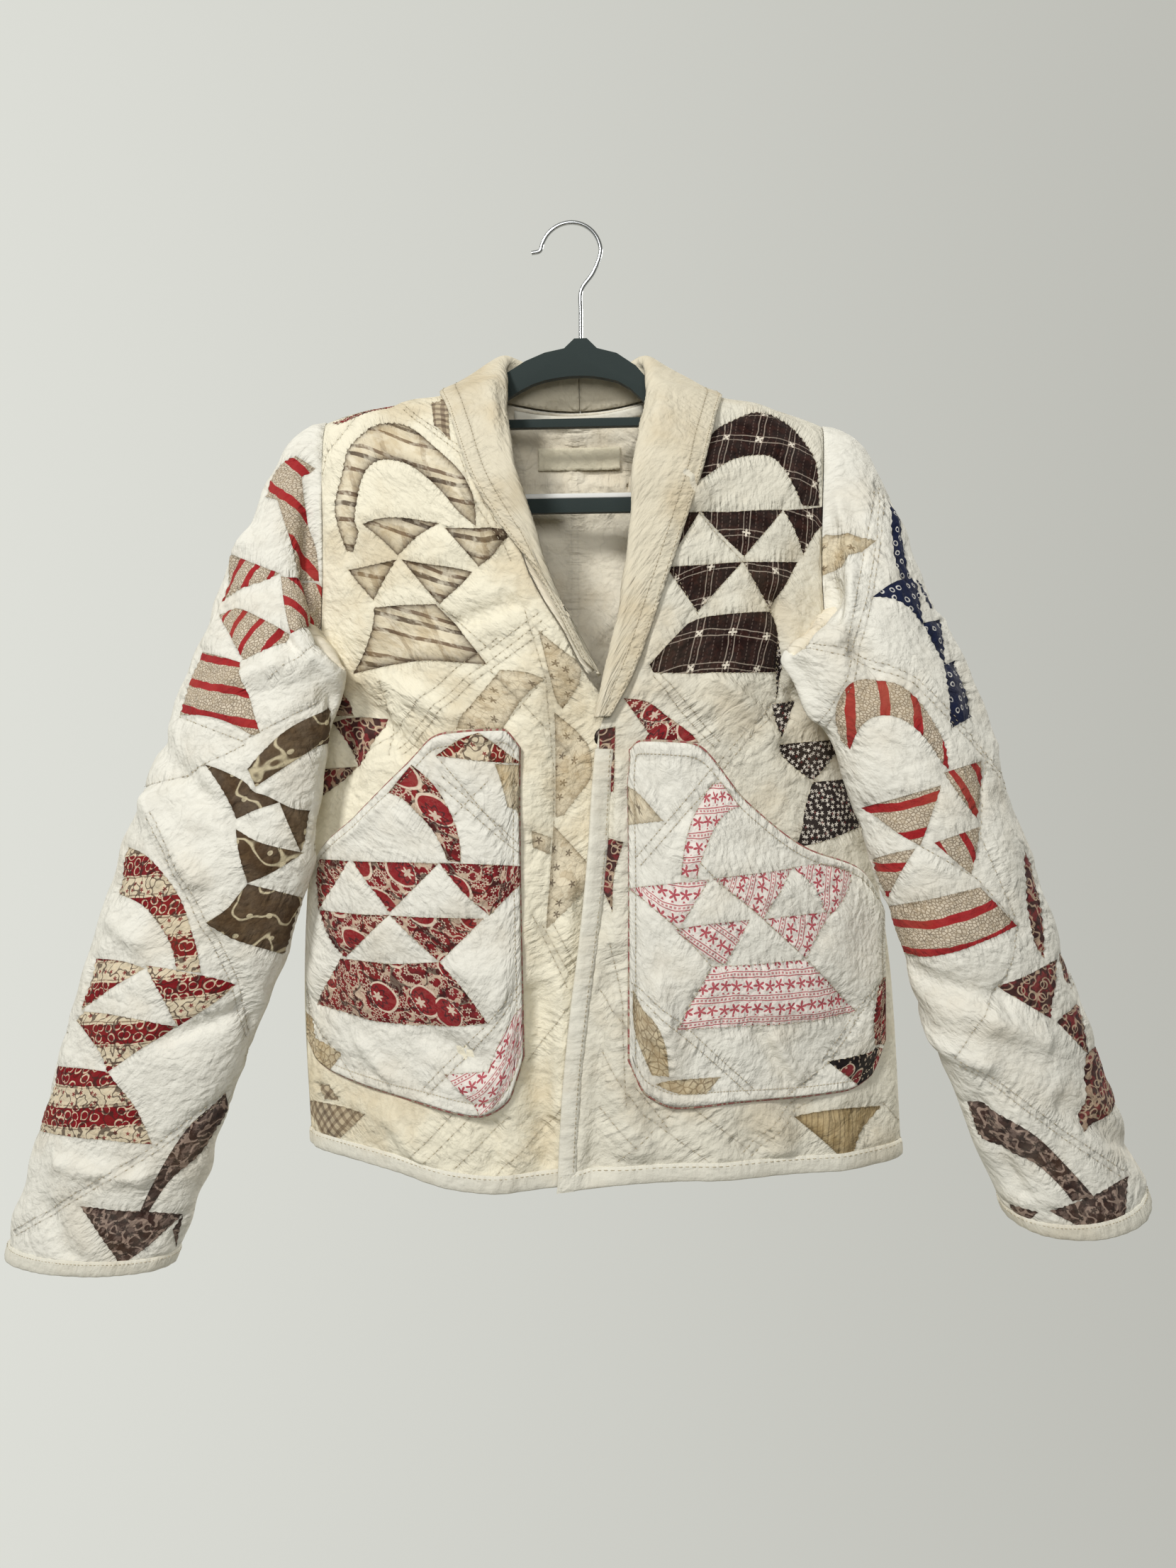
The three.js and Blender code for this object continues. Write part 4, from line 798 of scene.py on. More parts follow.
# %% Quilting rows and creases that show
SINGLE, DOUBLE = 1, 2
QUILTING = {
    "front_right": [
        (SINGLE, [(657, 640), (700, 740), (720, 790)]), (DOUBLE, [(560, 1060), (660, 960), (770, 880)]),
        (SINGLE, [(520, 1060), (640, 945), (700, 900)]), (SINGLE, [(690, 945), (735, 990), (800, 1060)]),
        (SINGLE, [(740, 860), (752, 900), (770, 960), (780, 1080), (782, 1200), (770, 1310)]),
        (DOUBLE, [(770, 1300), (810, 1370)]), (SINGLE, [(750, 1290), (800, 1390)]),
        (SINGLE, [(580, 1635), (640, 1570), (660, 1560)]), (SINGLE, [(600, 1640), (680, 1560)]),
        (SINGLE, [(640, 1650), (720, 1575)]), (SINGLE, [(470, 960), (500, 1060)]),
        (SINGLE, [(700, 1660), (780, 1580), (830, 1500)]), (SINGLE, [(745, 1500), (800, 1420)]),
        (DOUBLE, [(570, 575), (650, 635), (680, 715), (710, 760)]),
        (SINGLE, [(620, 855), (690, 915), (760, 865)]),
        (SINGLE, [(705, 1030), (770, 955)]), (SINGLE, [(540, 960), (548, 1065)]),
        (SINGLE, [(446, 700), (462, 640), (500, 590)])],
    "front_left": [
        (DOUBLE, [(925, 950), (990, 1030), (1010, 1050)]),
        (DOUBLE, [(1000, 1100), (1060, 1030), (1100, 990)]), (SINGLE, [(905, 1570), (1000, 1640)]),
        (SINGLE, [(960, 1550), (1060, 1625)]), (DOUBLE, [(1052, 1630), (1120, 1560), (1150, 1545)]),
        (SINGLE, [(1245, 1555), (1278, 1590)]), (SINGLE, [(985, 722), (1048, 793), (1089, 862)]),
        (SINGLE, [(905, 726), (945, 795), (984, 866)]), (SINGLE, [(860, 1330), (880, 1420), (885, 1560)]),
        (SINGLE, [(1200, 700), (1180, 850), (1150, 960)]), (SINGLE, [(845, 1395), (910, 1480)]),
        (SINGLE, [(895, 1530), (945, 1595)]), (SINGLE, [(850, 1480), (905, 1570)]),
        (SINGLE, [(845, 1560), (900, 1620)]), (SINGLE, [(870, 1640), (960, 1560)])],
    "pocket_left": [
        (DOUBLE, [(900, 1215), (1010, 1090)]), (DOUBLE, [(888, 1390), (960, 1450), (1060, 1540)]),
        (DOUBLE, [(1165, 1500), (1230, 1400), (1260, 1375)]), (SINGLE, [(1090, 1560), (1170, 1500)]),
        (SINGLE, [(988, 1217), (1010, 1240), (1078, 1297), (1137, 1352), (1210, 1428)]),
        (SINGLE, [(887, 1253), (957, 1310), (1004, 1364), (953, 1453)])],
    "pocket_right": [
        (SINGLE, [(615, 1065), (720, 1190)]), (DOUBLE, [(620, 1100), (735, 1200)]),
        (SINGLE, [(640, 1150), (690, 1100)]), (DOUBLE, [(600, 1540), (690, 1450), (740, 1385)]),
        (SINGLE, [(430, 1430), (530, 1560)])],
    "sleeve_right": [
        (DOUBLE, [(215, 1150), (250, 1230), (290, 1310), (330, 1390), (352, 1460)]),
        (DOUBLE, [(320, 1545), (220, 1620), (120, 1680), (20, 1740)]),
        (SINGLE, [(290, 1078), (200, 1110)]), (SINGLE, [(345, 1050), (250, 1095)]),
        (SINGLE, [(250, 1010), (340, 1045), (450, 990)]), (SINGLE, [(480, 880), (380, 960)])],
    "sleeve_left": [
        (DOUBLE, [(1245, 690), (1240, 760), (1230, 830), (1200, 960), (1165, 1020)]),
        (SINGLE, [(1235, 690), (1210, 830), (1195, 920)]),
        (DOUBLE, [(1110, 905), (1200, 920), (1250, 940), (1290, 960), (1370, 1040), (1420, 1110)]),
        (SINGLE, [(1390, 1060), (1385, 1180), (1440, 1310)]),
        (SINGLE, [(1298, 1193), (1380, 1240), (1437, 1306)]),
        (DOUBLE, [(1355, 1495), (1420, 1540), (1500, 1600), (1560, 1640), (1590, 1660)]),
        (SINGLE, [(1440, 1300), (1420, 1380), (1350, 1490)])],
}
CREASES = {
    "front_right": [((640, 880), (720, 850), 7, -2), ((500, 980), (590, 1070), 10, -3),
                    ((545, 960), (640, 1010), 9, 2.5),
                    ((800, 1250), (790, 1560), 9, 3), ((760, 1400), (770, 1640), 8, -2.5),
                    ((660, 690), (700, 760), 8, 2), ((560, 1580), (600, 1650), 9, 2.5),
                    ((690, 1590), (700, 1660), 8, -2)],
    "front_left": [((1010, 960), (1090, 1040), 9, 2.5), ((1100, 850), (1120, 980), 8, -2.5),
                   ((940, 970), (990, 1000), 8, 2),
                   ((870, 1080), (868, 1330), 7, 2), ((860, 1420), (900, 1620), 9, 2.5),
                   ((1100, 1590), (1110, 1650), 9, 2.5), ((930, 640), (990, 700), 10, 1.5),
                   ((1170, 880), (1120, 1000), 7, -3)],
    "pocket_left": [((1070, 1460), (1130, 1540), 5, -1.5), ((1095, 1465), (1128, 1530), 5, 1.5),
                    ((930, 1400), (950, 1500), 8, 2), ((1080, 1150), (1150, 1200), 9, 2),
                    ((920, 1080), (960, 1150), 8, -1.5)],
    "pocket_right": [((480, 1180), (540, 1130), 9, 2), ((600, 1460), (680, 1500), 8, -2),
                     ((510, 1470), (560, 1540), 8, 1.8), ((650, 1360), (700, 1420), 8, 1.8)],
    "sleeve_right": [((455, 660), (470, 900), 8, -3), ((400, 900), (470, 985), 9, -3),
                     ((330, 960), (430, 930), 10, 2.5),
                     ((215, 1010), (340, 1160), 10, -2.5), ((210, 1130), (280, 1240), 9, 2.5),
                     ((300, 1330), (360, 1440), 9, -2.5),
                     ((230, 1470), (330, 1430), 8, -2.5), ((90, 1640), (200, 1660), 8, 2.5),
                     ((160, 1300), (200, 1330), 8, 2), ((60, 1700), (110, 1790), 9, -2),
                     ((280, 800), (350, 760), 9, 2)],
    "sleeve_left": [((1150, 850), (1240, 950), 10, -3), ((1110, 905), (1160, 1010), 8, 3),
                    ((1180, 720), (1190, 900), 9, 2.5),
                    ((1290, 1370), (1420, 1410), 9, -2.5), ((1290, 1420), (1390, 1500), 9, 2.5),
                    ((1180, 1120), (1230, 1260), 8, -2.5),
                    ((1400, 1440), (1470, 1470), 8, 2.5), ((1380, 1560), (1440, 1680), 9, -2),
                    ((1330, 880), (1400, 1050), 8, 2), ((1500, 1560), (1600, 1620), 8, -2)],
}
print("quilting rows", {name: len(rows) for name, rows in QUILTING.items()})
print("creases", {name: len(lines) for name, lines in CREASES.items()})

# %% [markdown]
# Old cotton prints are small repeats in one to three colours, printed on plain weave. A print here is a
# ground with layers over it, and each layer is a colour and a motif measured in millimetres on the flat
# cloth. One function adds a node, and five motifs are enough for every cloth on the coat.

# %% Motifs
def linear(code):
    """A colour's hex code as the linear values that a material needs."""
    parts = [int(code[i:i + 2], 16) / 255 for i in (1, 3, 5)]
    return [c / 12.92 if c <= 0.04045 else ((c + 0.055) / 1.055) ** 2.4 for c in parts] + [1]


def add(tree, kind, *inputs, out=0, named=None, **settings):
    """Adds one node. Inputs are numbers, colours or other nodes' outputs; None leaves one as it is."""
    node = tree.nodes.new("ShaderNode" + kind)
    for key, value in settings.items():
        setattr(node, key, value)
    pairs = list(zip(node.inputs, inputs))
    pairs += [(node.inputs[key], value) for key, value in (named or {}).items()]
    for socket, value in pairs:
        if isinstance(value, bpy.types.NodeSocket):
            tree.links.new(value, socket)
        elif value is not None:
            socket.default_value = value
    return node.outputs[out] if node.outputs else node


def below(tree, value, limit, soft=0.2):
    """1 where a value is below a limit and 0 above it, with a soft edge."""
    return add(tree, "MapRange", value, limit - soft, limit + soft, 1, 0, interpolation_type="SMOOTHSTEP")


def stripes(tree, place, axis, period, width, shift=0, dash=0):
    """Lines along the cloth, a period apart. With a dash they are broken into short lengths."""
    parts = [add(tree, "SeparateXYZ", place, out=k) for k in (0, 1)]
    away = add(tree, "Math", parts[axis], shift, operation="ADD")
    line = below(tree, add(tree, "Math", away, period / 2, operation="PINGPONG"), width / 2)
    if dash == 0:
        return line
    gaps = below(tree, add(tree, "Math", parts[1 - axis], dash / 2, operation="PINGPONG"), dash / 3.4)
    return add(tree, "Math", line, gaps, operation="MULTIPLY")


def sprigs(tree, place, pitch, size, petals=5, depth=0.35, ring=0, loose=0.7, band=0):
    """Flowers, dots, drops or rings, one to each cell of a loose net and each turned its own way."""
    cell = add(tree, "TexVoronoi", place, None, 1 / pitch, voronoi_dimensions="2D", out=2,
               named={"Randomness": loose})
    turn = add(tree, "SeparateXYZ", add(tree, "VectorMath", cell.node.outputs["Color"], None, None, 6.28,
                                        operation="SCALE"))
    from_middle = add(tree, "VectorMath", place, cell, operation="SUBTRACT")
    x, y = (add(tree, "SeparateXYZ", from_middle, out=k) for k in (0, 1))
    away = add(tree, "VectorMath", from_middle, out=1, operation="LENGTH")
    angle = add(tree, "Math", add(tree, "Math", y, x, operation="ARCTAN2"), turn, operation="ADD")
    wave = add(tree, "Math", add(tree, "Math", angle, petals, operation="MULTIPLY"), operation="COSINE")
    shape = add(tree, "Math", away, add(tree, "Math", wave, depth, 1, operation="MULTIPLY_ADD"),
                operation="DIVIDE")
    if ring:
        shape = add(tree, "Math", add(tree, "Math", shape, size, operation="SUBTRACT"), operation="ABSOLUTE")
        size = ring / 2
    drawn = below(tree, shape, size)
    if band == 0:
        return drawn
    return add(tree, "Math", drawn, stripes(tree, place, 1, band, band * 0.62), operation="MULTIPLY")


def blotches(tree, place, size, share, soft=0.06, detail=3):
    """Soft patches of colour that cover about a share of the cloth."""
    noise = add(tree, "TexNoise", place, None, 1 / size, detail, 0.6, noise_dimensions="2D")
    return below(tree, noise, 0.3 + 0.4 * share, soft)


def curls(tree, place, size, width):
    """Winding lines, like vines or swirls."""
    noise = add(tree, "TexNoise", place, None, 1 / size, 1, 0.4, noise_dimensions="2D")
    away = add(tree, "Math", add(tree, "Math", noise, 0.5, operation="SUBTRACT"), operation="ABSOLUTE")
    return below(tree, away, width / size, 0.01)


def crackle(tree, place, size, width):
    """A net of fine veins."""
    edge = add(tree, "TexVoronoi", place, None, 1 / size, voronoi_dimensions="2D", feature="DISTANCE_TO_EDGE",
               named={"Randomness": 1})
    return below(tree, edge, width / size, 0.02)


# %% [markdown]
# Every cloth ages alike: dirt sits in the seams, water leaves tan stains, threads show, and the cloth
# puckers along each row of stitching. Painted shade darkens the bottoms of the fold creases. So all prints
# share one finish, and differ only in ground and layers.

# %% Finish of a cloth
PRINT_UNIT = 100
WOBBLE_SIZE, WOBBLE = 14, 2.2
FOLD_SIZE, FOLD_HEIGHT = 24, 3
THREAD_SIZE, THREAD_HEIGHT = 0.9, 0.14
WRINKLE_SIZE, WRINKLE_HEIGHT = 7, 1.8
PUCKER_PITCH, PUCKER_LENGTH, PUCKER_HEIGHT = 4.2, 15, 2.6
CLOTHS = {}


def over(tree, colour, mask, layer, blend="MIX"):
    """A colour with a layer laid over it where a mask says."""
    return add(tree, "Mix", mask, None, None, None, None, None, colour, layer, out=2, data_type="RGBA",
               blend_type=blend)


def cloth(name, ground, *layers, stain="#b59a68", stained=0.35, dirt=0.3, soil="#5d4f3c", reach=0.22,
          rough=0.92, fade=0.06, crinkle_and_crease_shade=1):
    """A cotton cloth: each layer is a colour, a strength, a motif and the motif's sizes."""
    material = bpy.data.materials.new(name)
    material.use_nodes = True
    tree = material.node_tree
    tree.nodes.clear()
    place = add(tree, "VectorMath", add(tree, "UVMap", uv_map="print"), None, None, PRINT_UNIT,
                operation="SCALE")
    wobble = add(tree, "TexNoise", place, None, 1 / WOBBLE_SIZE, 1, out=1, noise_dimensions="2D")
    wobble = add(tree, "VectorMath", wobble, (0.5, 0.5, 0.5), operation="SUBTRACT")
    wobble = add(tree, "VectorMath", wobble, None, None, WOBBLE, operation="SCALE")
    place = add(tree, "VectorMath", wobble, place, operation="ADD")
    colour = linear(ground)
    for code, strength, motif, sizes in layers:
        mask = add(tree, "Math", motif(tree, place, **sizes), strength, operation="MULTIPLY")
        colour = over(tree, colour, mask, linear(code))
    object_place = add(tree, "TexCoord", out=3)
    worn = below(tree, add(tree, "TexNoise", object_place, None, 55, 4, 0.6), 0.5, 0.22)
    colour = over(tree, colour, add(tree, "Math", worn, fade, operation="MULTIPLY"), linear("#e9e4d4"))
    old = below(tree, add(tree, "TexNoise", object_place, None, 17, 4, 0.55), 0.42, 0.14)
    colour = over(tree, colour, add(tree, "Math", old, stained, operation="MULTIPLY"), linear(stain))
    seam = add(tree, "Attribute", attribute_name="seam", out=1)
    near = add(tree, "Math", reach, add(tree, "SeparateXYZ", seam, out=1), operation="POWER")
    colour = over(tree, colour, add(tree, "Math", near, dirt, operation="MULTIPLY"), linear(soil), "MULTIPLY")
    folds = add(tree, "TexNoise", place, None, 1 / FOLD_SIZE, 2, 0.5, noise_dimensions="2D",
                named={"Distortion": 0.5})
    folds = add(tree, "Math", add(tree, "Math", folds, 0.5, operation="SUBTRACT"), operation="ABSOLUTE")
    # Painted shade: a grey-brown darkens the bottoms of the fold creases that the same noise raises as bumps.
    painted_crease_shade = add(tree, "Math", below(tree, folds, 0.035, 0.03), 0.08 * crinkle_and_crease_shade, operation="MULTIPLY")
    colour = over(tree, colour, painted_crease_shade, linear("#7d7361"), "MULTIPLY")
    threads = add(tree, "TexNoise", place, None, 1 / THREAD_SIZE, 2, 0.5, noise_dimensions="2D")
    wrinkles = add(tree, "TexNoise", place, None, 1 / WRINKLE_SIZE, 3, 0.5, noise_dimensions="2D")
    across_seam = add(tree, "VectorMath", seam, (1 / PUCKER_PITCH, 1 / PUCKER_LENGTH, 0),
                      operation="MULTIPLY")
    puckers = add(tree, "TexNoise", across_seam, None, 1, 2, 0.5, noise_dimensions="2D")
    close = add(tree, "Math", 0.9, add(tree, "SeparateXYZ", seam, out=1), operation="POWER")
    close = add(tree, "Math", close, add(tree, "SeparateXYZ", seam, out=2), operation="MULTIPLY")
    height = add(tree, "Math", threads, THREAD_HEIGHT, operation="MULTIPLY")
    height = add(tree, "Math", wrinkles, WRINKLE_HEIGHT * crinkle_and_crease_shade, height, operation="MULTIPLY_ADD")
    height = add(tree, "Math", folds, FOLD_HEIGHT * crinkle_and_crease_shade, height, operation="MULTIPLY_ADD")
    drawn_in = add(tree, "Math", close, PUCKER_HEIGHT * crinkle_and_crease_shade, operation="MULTIPLY")
    height = add(tree, "Math", puckers, drawn_in, height,
                 operation="MULTIPLY_ADD")
    normal = add(tree, "Bump", named={"Strength": 1, "Distance": MM, "Height": height})
    shader = add(tree, "BsdfPrincipled", named={"Base Color": colour, "Roughness": rough, "Normal": normal,
                                                "Sheen Weight": 0.03, "Specular IOR Level": 0.12})
    add(tree, "OutputMaterial", shader)
    CLOTHS[name] = material


MUSLIN = "#e0ddd1"
cloth("muslin", MUSLIN, stained=0.16)
cloth("cream_muslin", "#e6dfc8", stained=0.4)
cloth("aged_muslin", "#d9d4c3", stained=0.28)
cloth("collar_muslin", "#d6cdb6", stained=0.35, crinkle_and_crease_shade=0.8)
cloth("backing", "#e4dcc8", stained=0.25, dirt=0.1)
cloth(
    "brown_plaid", "#1f0e0b", ("#351c16", 0.7, blotches, {"size": 6, "share": 0.4}),
    ("#8d7a6e", 0.3, stripes, {"axis": 0, "period": 6.25, "width": 0.7, "dash": 3}),
    *[("#cbbcaa", 0.5, stripes, {"axis": axis, "period": 25, "width": 0.7, "shift": shift})
      for axis in (0, 1) for shift in (2.3, -2.3)],
    ("#e4dac8", 0.9, sprigs, {"pitch": 25, "size": 2.1, "petals": 4, "depth": 0.5, "loose": 0}),
    stained=0.03, fade=0.02)
cloth(
    "faded_plaid", "#dcd0b4", ("#b39d78", 0.45, blotches, {"size": 16, "share": 0.45, "soft": 0.12}),
    ("#5b3f29", 0.85, stripes, {"axis": 1, "period": 21, "width": 3.4}),
    ("#3f2818", 0.85, stripes, {"axis": 1, "period": 42, "width": 4, "shift": 8}),
    ("#7d6447", 0.35, stripes, {"axis": 0, "period": 30, "width": 4}),
    ("#e4dac2", 0.6, blotches, {"size": 9, "share": 0.34, "soft": 0.1}), stained=0.3, dirt=0.9,
    soil="#452f1f", reach=0.74)
cloth(
    "red_stripe_crackle", "#cfc2ad", ("#6f5d49", 0.75, crackle, {"size": 2.4, "width": 0.34}),
    ("#a8977e", 0.5, blotches, {"size": 4, "share": 0.4}),
    ("#9c2226", 1, stripes, {"axis": 1, "period": 21, "width": 6}), stained=0.12, fade=0.02)
cloth(
    "olive_swirl", "#4a3826", ("#5b4832", 0.6, blotches, {"size": 7, "share": 0.4}),
    ("#cfc2a0", 0.8, curls, {"size": 30, "width": 0.5}),
    ("#cfc2a0", 0.75, sprigs, {"pitch": 21, "size": 2, "petals": 1}), stained=0.05, fade=0.05)
cloth(
    "red_paisley_stripe", "#d3c5a9", ("#7a1219", 1, stripes, {"axis": 1, "period": 34, "width": 16}),
    ("#6b4a38", 0.7, stripes, {"axis": 1, "period": 34, "width": 1.2, "shift": 9.5}),
    ("#6b4a38", 0.7, stripes, {"axis": 1, "period": 34, "width": 1, "shift": -10}),
    ("#d8c6a8", 0.85, sprigs, {"pitch": 9, "size": 3.2, "petals": 1, "depth": 0.45, "ring": 1}),
    ("#7a1219", 0.9, sprigs, {"pitch": 9, "size": 1.5, "petals": 5}),
    ("#3a211c", 0.8, curls, {"size": 9, "width": 0.34}), stained=0.05, fade=0.01)
cloth(
    "red_paisley", "#7c1a20", ("#4d1216", 0.6, blotches, {"size": 9, "share": 0.45}),
    ("#d6c5ae", 0.85, sprigs, {"pitch": 5.5, "size": 1.4, "petals": 6, "ring": 0.8}),
    ("#c9b49c", 0.8, curls, {"size": 12, "width": 0.42}),
    ("#24110f", 0.75, curls, {"size": 17, "width": 0.5}),
    ("#861d23", 0.95, sprigs, {"pitch": 34, "size": 10, "petals": 1, "depth": 0.5, "loose": 0.5}),
    ("#d8c8b2", 0.9, sprigs, {"pitch": 34, "size": 10, "petals": 1, "depth": 0.5, "loose": 0.5, "ring": 1.3}),
    ("#3a2023", 0.8, sprigs, {"pitch": 34, "size": 6.4, "petals": 9, "depth": 0.2, "loose": 0.5,
                              "ring": 1.5}),
    ("#d8c8b2", 0.8, sprigs, {"pitch": 34, "size": 3, "petals": 6, "loose": 0.5}), stained=0.04, fade=0.02)
cloth(
    "pink_floral_stripe", "#e4dbd2",
    ("#b04550", 0.9, stripes, {"axis": 1, "period": 17, "width": 0.8, "shift": 6.6}),
    ("#b04550", 0.9, stripes, {"axis": 1, "period": 17, "width": 0.8, "shift": 10.4}),
    ("#b4545c", 0.8, stripes, {"axis": 1, "period": 17, "width": 1.5, "shift": 8.5, "dash": 3}),
    ("#ad3b4a", 0.95, sprigs, {"pitch": 8.5, "size": 2.8, "petals": 5, "depth": 0.6, "loose": 0.12,
                              "band": 17}),
    stained=0.05)
cloth(
    "star_print", "#241a19", ("#ddd5c8", 0.95, sprigs,
                              {"pitch": 4.4, "size": 1.15, "petals": 5, "depth": 0.5, "loose": 0.6}),
    ("#8c3b38", 0.5, sprigs, {"pitch": 9, "size": 0.8, "petals": 4, "loose": 0.8}), stained=0.03, fade=0.03)
cloth(
    "navy_rings", "#101a38", ("#d6d3cb", 0.9, sprigs, {"pitch": 9, "size": 1.7, "petals": 1, "depth": 0.25,
                                                    "ring": 0.8, "loose": 0.35}), stained=0.02, fade=0.02)
cloth(
    "mauve_print", "#38241f", ("#77635a", 0.7, blotches, {"size": 8, "share": 0.38}),
    ("#a58f80", 0.7, curls, {"size": 10, "width": 0.6}),
    ("#2a1d1a", 0.8, sprigs, {"pitch": 8, "size": 2, "petals": 5}), stained=0.06, fade=0.05)
cloth(
    "tan_floral", "#d8ccb1", ("#a08a68", 0.4, blotches, {"size": 11, "share": 0.35}),
    ("#4b3a2b", 0.75, sprigs, {"pitch": 15, "size": 1.9, "petals": 5, "depth": 0.5}),
    ("#66523d", 0.22, crackle, {"size": 5, "width": 0.3}), stained=0.45, dirt=0.5, reach=0.5)
cloth(
    "dark_red_paisley", "#3c1d1c", ("#7d262a", 0.8, blotches, {"size": 9, "share": 0.4}),
    ("#bda58b", 0.7, curls, {"size": 10, "width": 0.45}),
    ("#c8b296", 0.7, sprigs, {"pitch": 11, "size": 2.8, "petals": 1, "ring": 0.9}), stained=0.04, fade=0.04)
cloth(
    "dark_paisley", "#191314", ("#7f2b2f", 0.8, sprigs,
                                {"pitch": 16, "size": 4.5, "petals": 1, "depth": 0.4}),
    ("#cdb9a2", 0.8, sprigs, {"pitch": 16, "size": 5, "petals": 1, "depth": 0.4, "ring": 0.9}),
    ("#cdb9a2", 0.6, sprigs, {"pitch": 5, "size": 0.8, "petals": 5}), stained=0.02, fade=0.03)
cloth(
    "tan_bark", "#b49f77", ("#8d774f", 0.7, blotches, {"size": 12, "share": 0.45, "soft": 0.12}),
    ("#6d5839", 0.6, stripes, {"axis": 0, "period": 4.4, "width": 0.9}), stained=0.3, dirt=0.6, reach=0.6)
cloth(
    "brown_check", "#b7a88d", ("#5d4838", 0.6, stripes, {"axis": 0, "period": 7, "width": 3}),
    ("#4d392c", 0.6, stripes, {"axis": 1, "period": 7, "width": 3}), stained=0.2)
cloth(
    "tan_crackle", "#c4b698", ("#6d5a44", 0.7, crackle, {"size": 5.5, "width": 0.5}),
    ("#8c7657", 0.6, blotches, {"size": 14, "share": 0.35, "soft": 0.12}), stained=0.3)
cloth("tape", "#dbd7c8", stained=0.2, dirt=0.3, crinkle_and_crease_shade=0.5)
cloth("thread", "#b5a98e", stained=0, dirt=0.1)
cloth("red_piping", "#a89a86", ("#8b3038", 0.8, blotches, {"size": 5, "share": 0.55}), stained=0.1)
cloth("label_cotton", "#e4dcc2", stained=0.1, dirt=0)
print("cloths", len(CLOTHS))

# %% [markdown]
# The hidden sides carry whole basket blocks of the same cloths, because the same quilt was cut for them. A
# block stands on its foot: a handle like an arch, three triangles, two triangles, and the foot below.

# %% Patches on the hidden sides
HANDLE = {"half": 58, "high": 79, "ring": 25}
HANDLE_STEPS = 15


def basket(middle, scale):
    """Outlines of one basket block round its middle, in mm on the flat cloth."""
    turn = np.linspace(0, np.pi, HANDLE_STEPS)
    arch = np.column_stack([np.cos(turn), np.sin(turn)])
    outside = arch * (HANDLE["half"], HANDLE["high"])
    inside = arch[::-1] * (HANDLE["half"] - HANDLE["ring"], HANDLE["high"] - HANDLE["ring"])
    pieces = [np.vstack([outside, inside])]
    pieces += [np.array([(x - 31, 0), (x + 31, 0), (x, -36)]) for x in (-65, 0, 65)]
    pieces += [np.array([(x - 28, -37), (x + 28, -37), (x, -74)]) for x in (-31, 31)]
    pieces.append(np.array([(-30, -75), (30, -75), (51, -120), (-51, -120)]))
    return [np.array(middle) + (piece + (0, 20)) * scale for piece in pieces]


HIDDEN = {
    "back": [("red_paisley", (112, 100), 0.95), ("pink_floral_stripe", (328, 96), 0.95),
             ("brown_plaid", (330, 312), 1),
             ("red_stripe_crackle", (110, 312), 1), ("faded_plaid", (122, 512), 0.8),
             ("olive_swirl", (318, 512), 0.8)],
    "sleeve_right": [("mauve_print", (0, 470), 0.8), ("red_paisley", (0, 270), 0.85),
                     ("olive_swirl", (-10, 90), 0.75)],
    "sleeve_left": [("pink_floral_stripe", (0, 430), 0.8), ("faded_plaid", (0, 240), 0.8),
                    ("dark_red_paisley", (8, 80), 0.7)],
}
HIDDEN_ROWS = {
    "back": [(DOUBLE, [(20, 205), (220, 405), (420, 205)]), (DOUBLE, [(20, 405), (220, 205), (420, 405)]),
             (DOUBLE, [(220, 20), (220, 190)]), (SINGLE, [(20, 20), (205, 205)]),
             (SINGLE, [(420, 20), (235, 205)]),
             (SINGLE, [(20, 590), (205, 405)]), (SINGLE, [(420, 590), (235, 405)]),
             (DOUBLE, [(220, 420), (220, 580)]),
             (SINGLE, [(172, 305), (220, 353), (268, 305), (220, 257), (172, 305)]),
             (SINGLE, [(196, 305), (220, 329), (244, 305), (220, 281), (196, 305)]),
             (SINGLE, [(20, 345), (40, 325), (20, 305)]), (SINGLE, [(420, 345), (400, 325), (420, 305)])],
    "sleeve_right": [(DOUBLE, [(-95, 190), (0, 165), (95, 190)]),
                     (DOUBLE, [(-95, 370), (0, 390), (95, 370)])],
    "sleeve_left": [(DOUBLE, [(-85, 165), (0, 145), (85, 165)]), (DOUBLE, [(-85, 330), (0, 350), (85, 330)])],
}
HIDDEN_CREASES = {
    "back": [((90, 380), (180, 470), 14, 3), ((350, 400), (270, 480), 14, 3), ((220, 60), (225, 330), 16, -3),
             ((60, 40), (80, 180), 12, 3), ((380, 30), (360, 200), 12, 3), ((140, 30), (150, 220), 12, -2.5),
             ((300, 40), (296, 200), 12, -2.5), ((120, 250), (330, 290), 16, 2)],
    "sleeve_right": [((-60, 320), (60, 350), 10, -3), ((-50, 210), (60, 190), 10, 3),
                     ((-60, 520), (50, 560), 12, -3)],
    "sleeve_left": [((-60, 290), (60, 310), 10, -3), ((-50, 180), (60, 160), 10, 3),
                    ((-60, 480), (50, 510), 12, -3)],
}

# %% [markdown]
# Relief makes the cloth look quilted: it puffs between the rows, dives at each seam, and gathers beside it.
# One function gives the height everywhere, so that stitches and bindings laid on later follow the same
# cloth.

# %% Seams and relief
ROW_GAP = 2.7
CREASE_DEPTH = 2.5
SEED = 11
WAVE_COUNT = 9
WAVE_HEIGHT = 0.42
FAR = 60
PUFF_REACH = 6
DIVE, DIVE_REACH = 0.5, 1.5
GATHER_HEIGHT, GATHER_PITCH, GATHER_DRIFT, GATHER_REACH = 0.75, 7.5, 23, 6
random = np.random.default_rng(SEED)
WAVES = [(unit(random.normal(size=3)) * 2 * np.pi / random.uniform(24, 62), random.uniform(0, 6.28))
         for _ in range(WAVE_COUNT)]
GROUND = {"front_right": "cream_muslin", "front_left": "aged_muslin", "collar_right": "collar_muslin",
          "collar_left": "collar_muslin"}


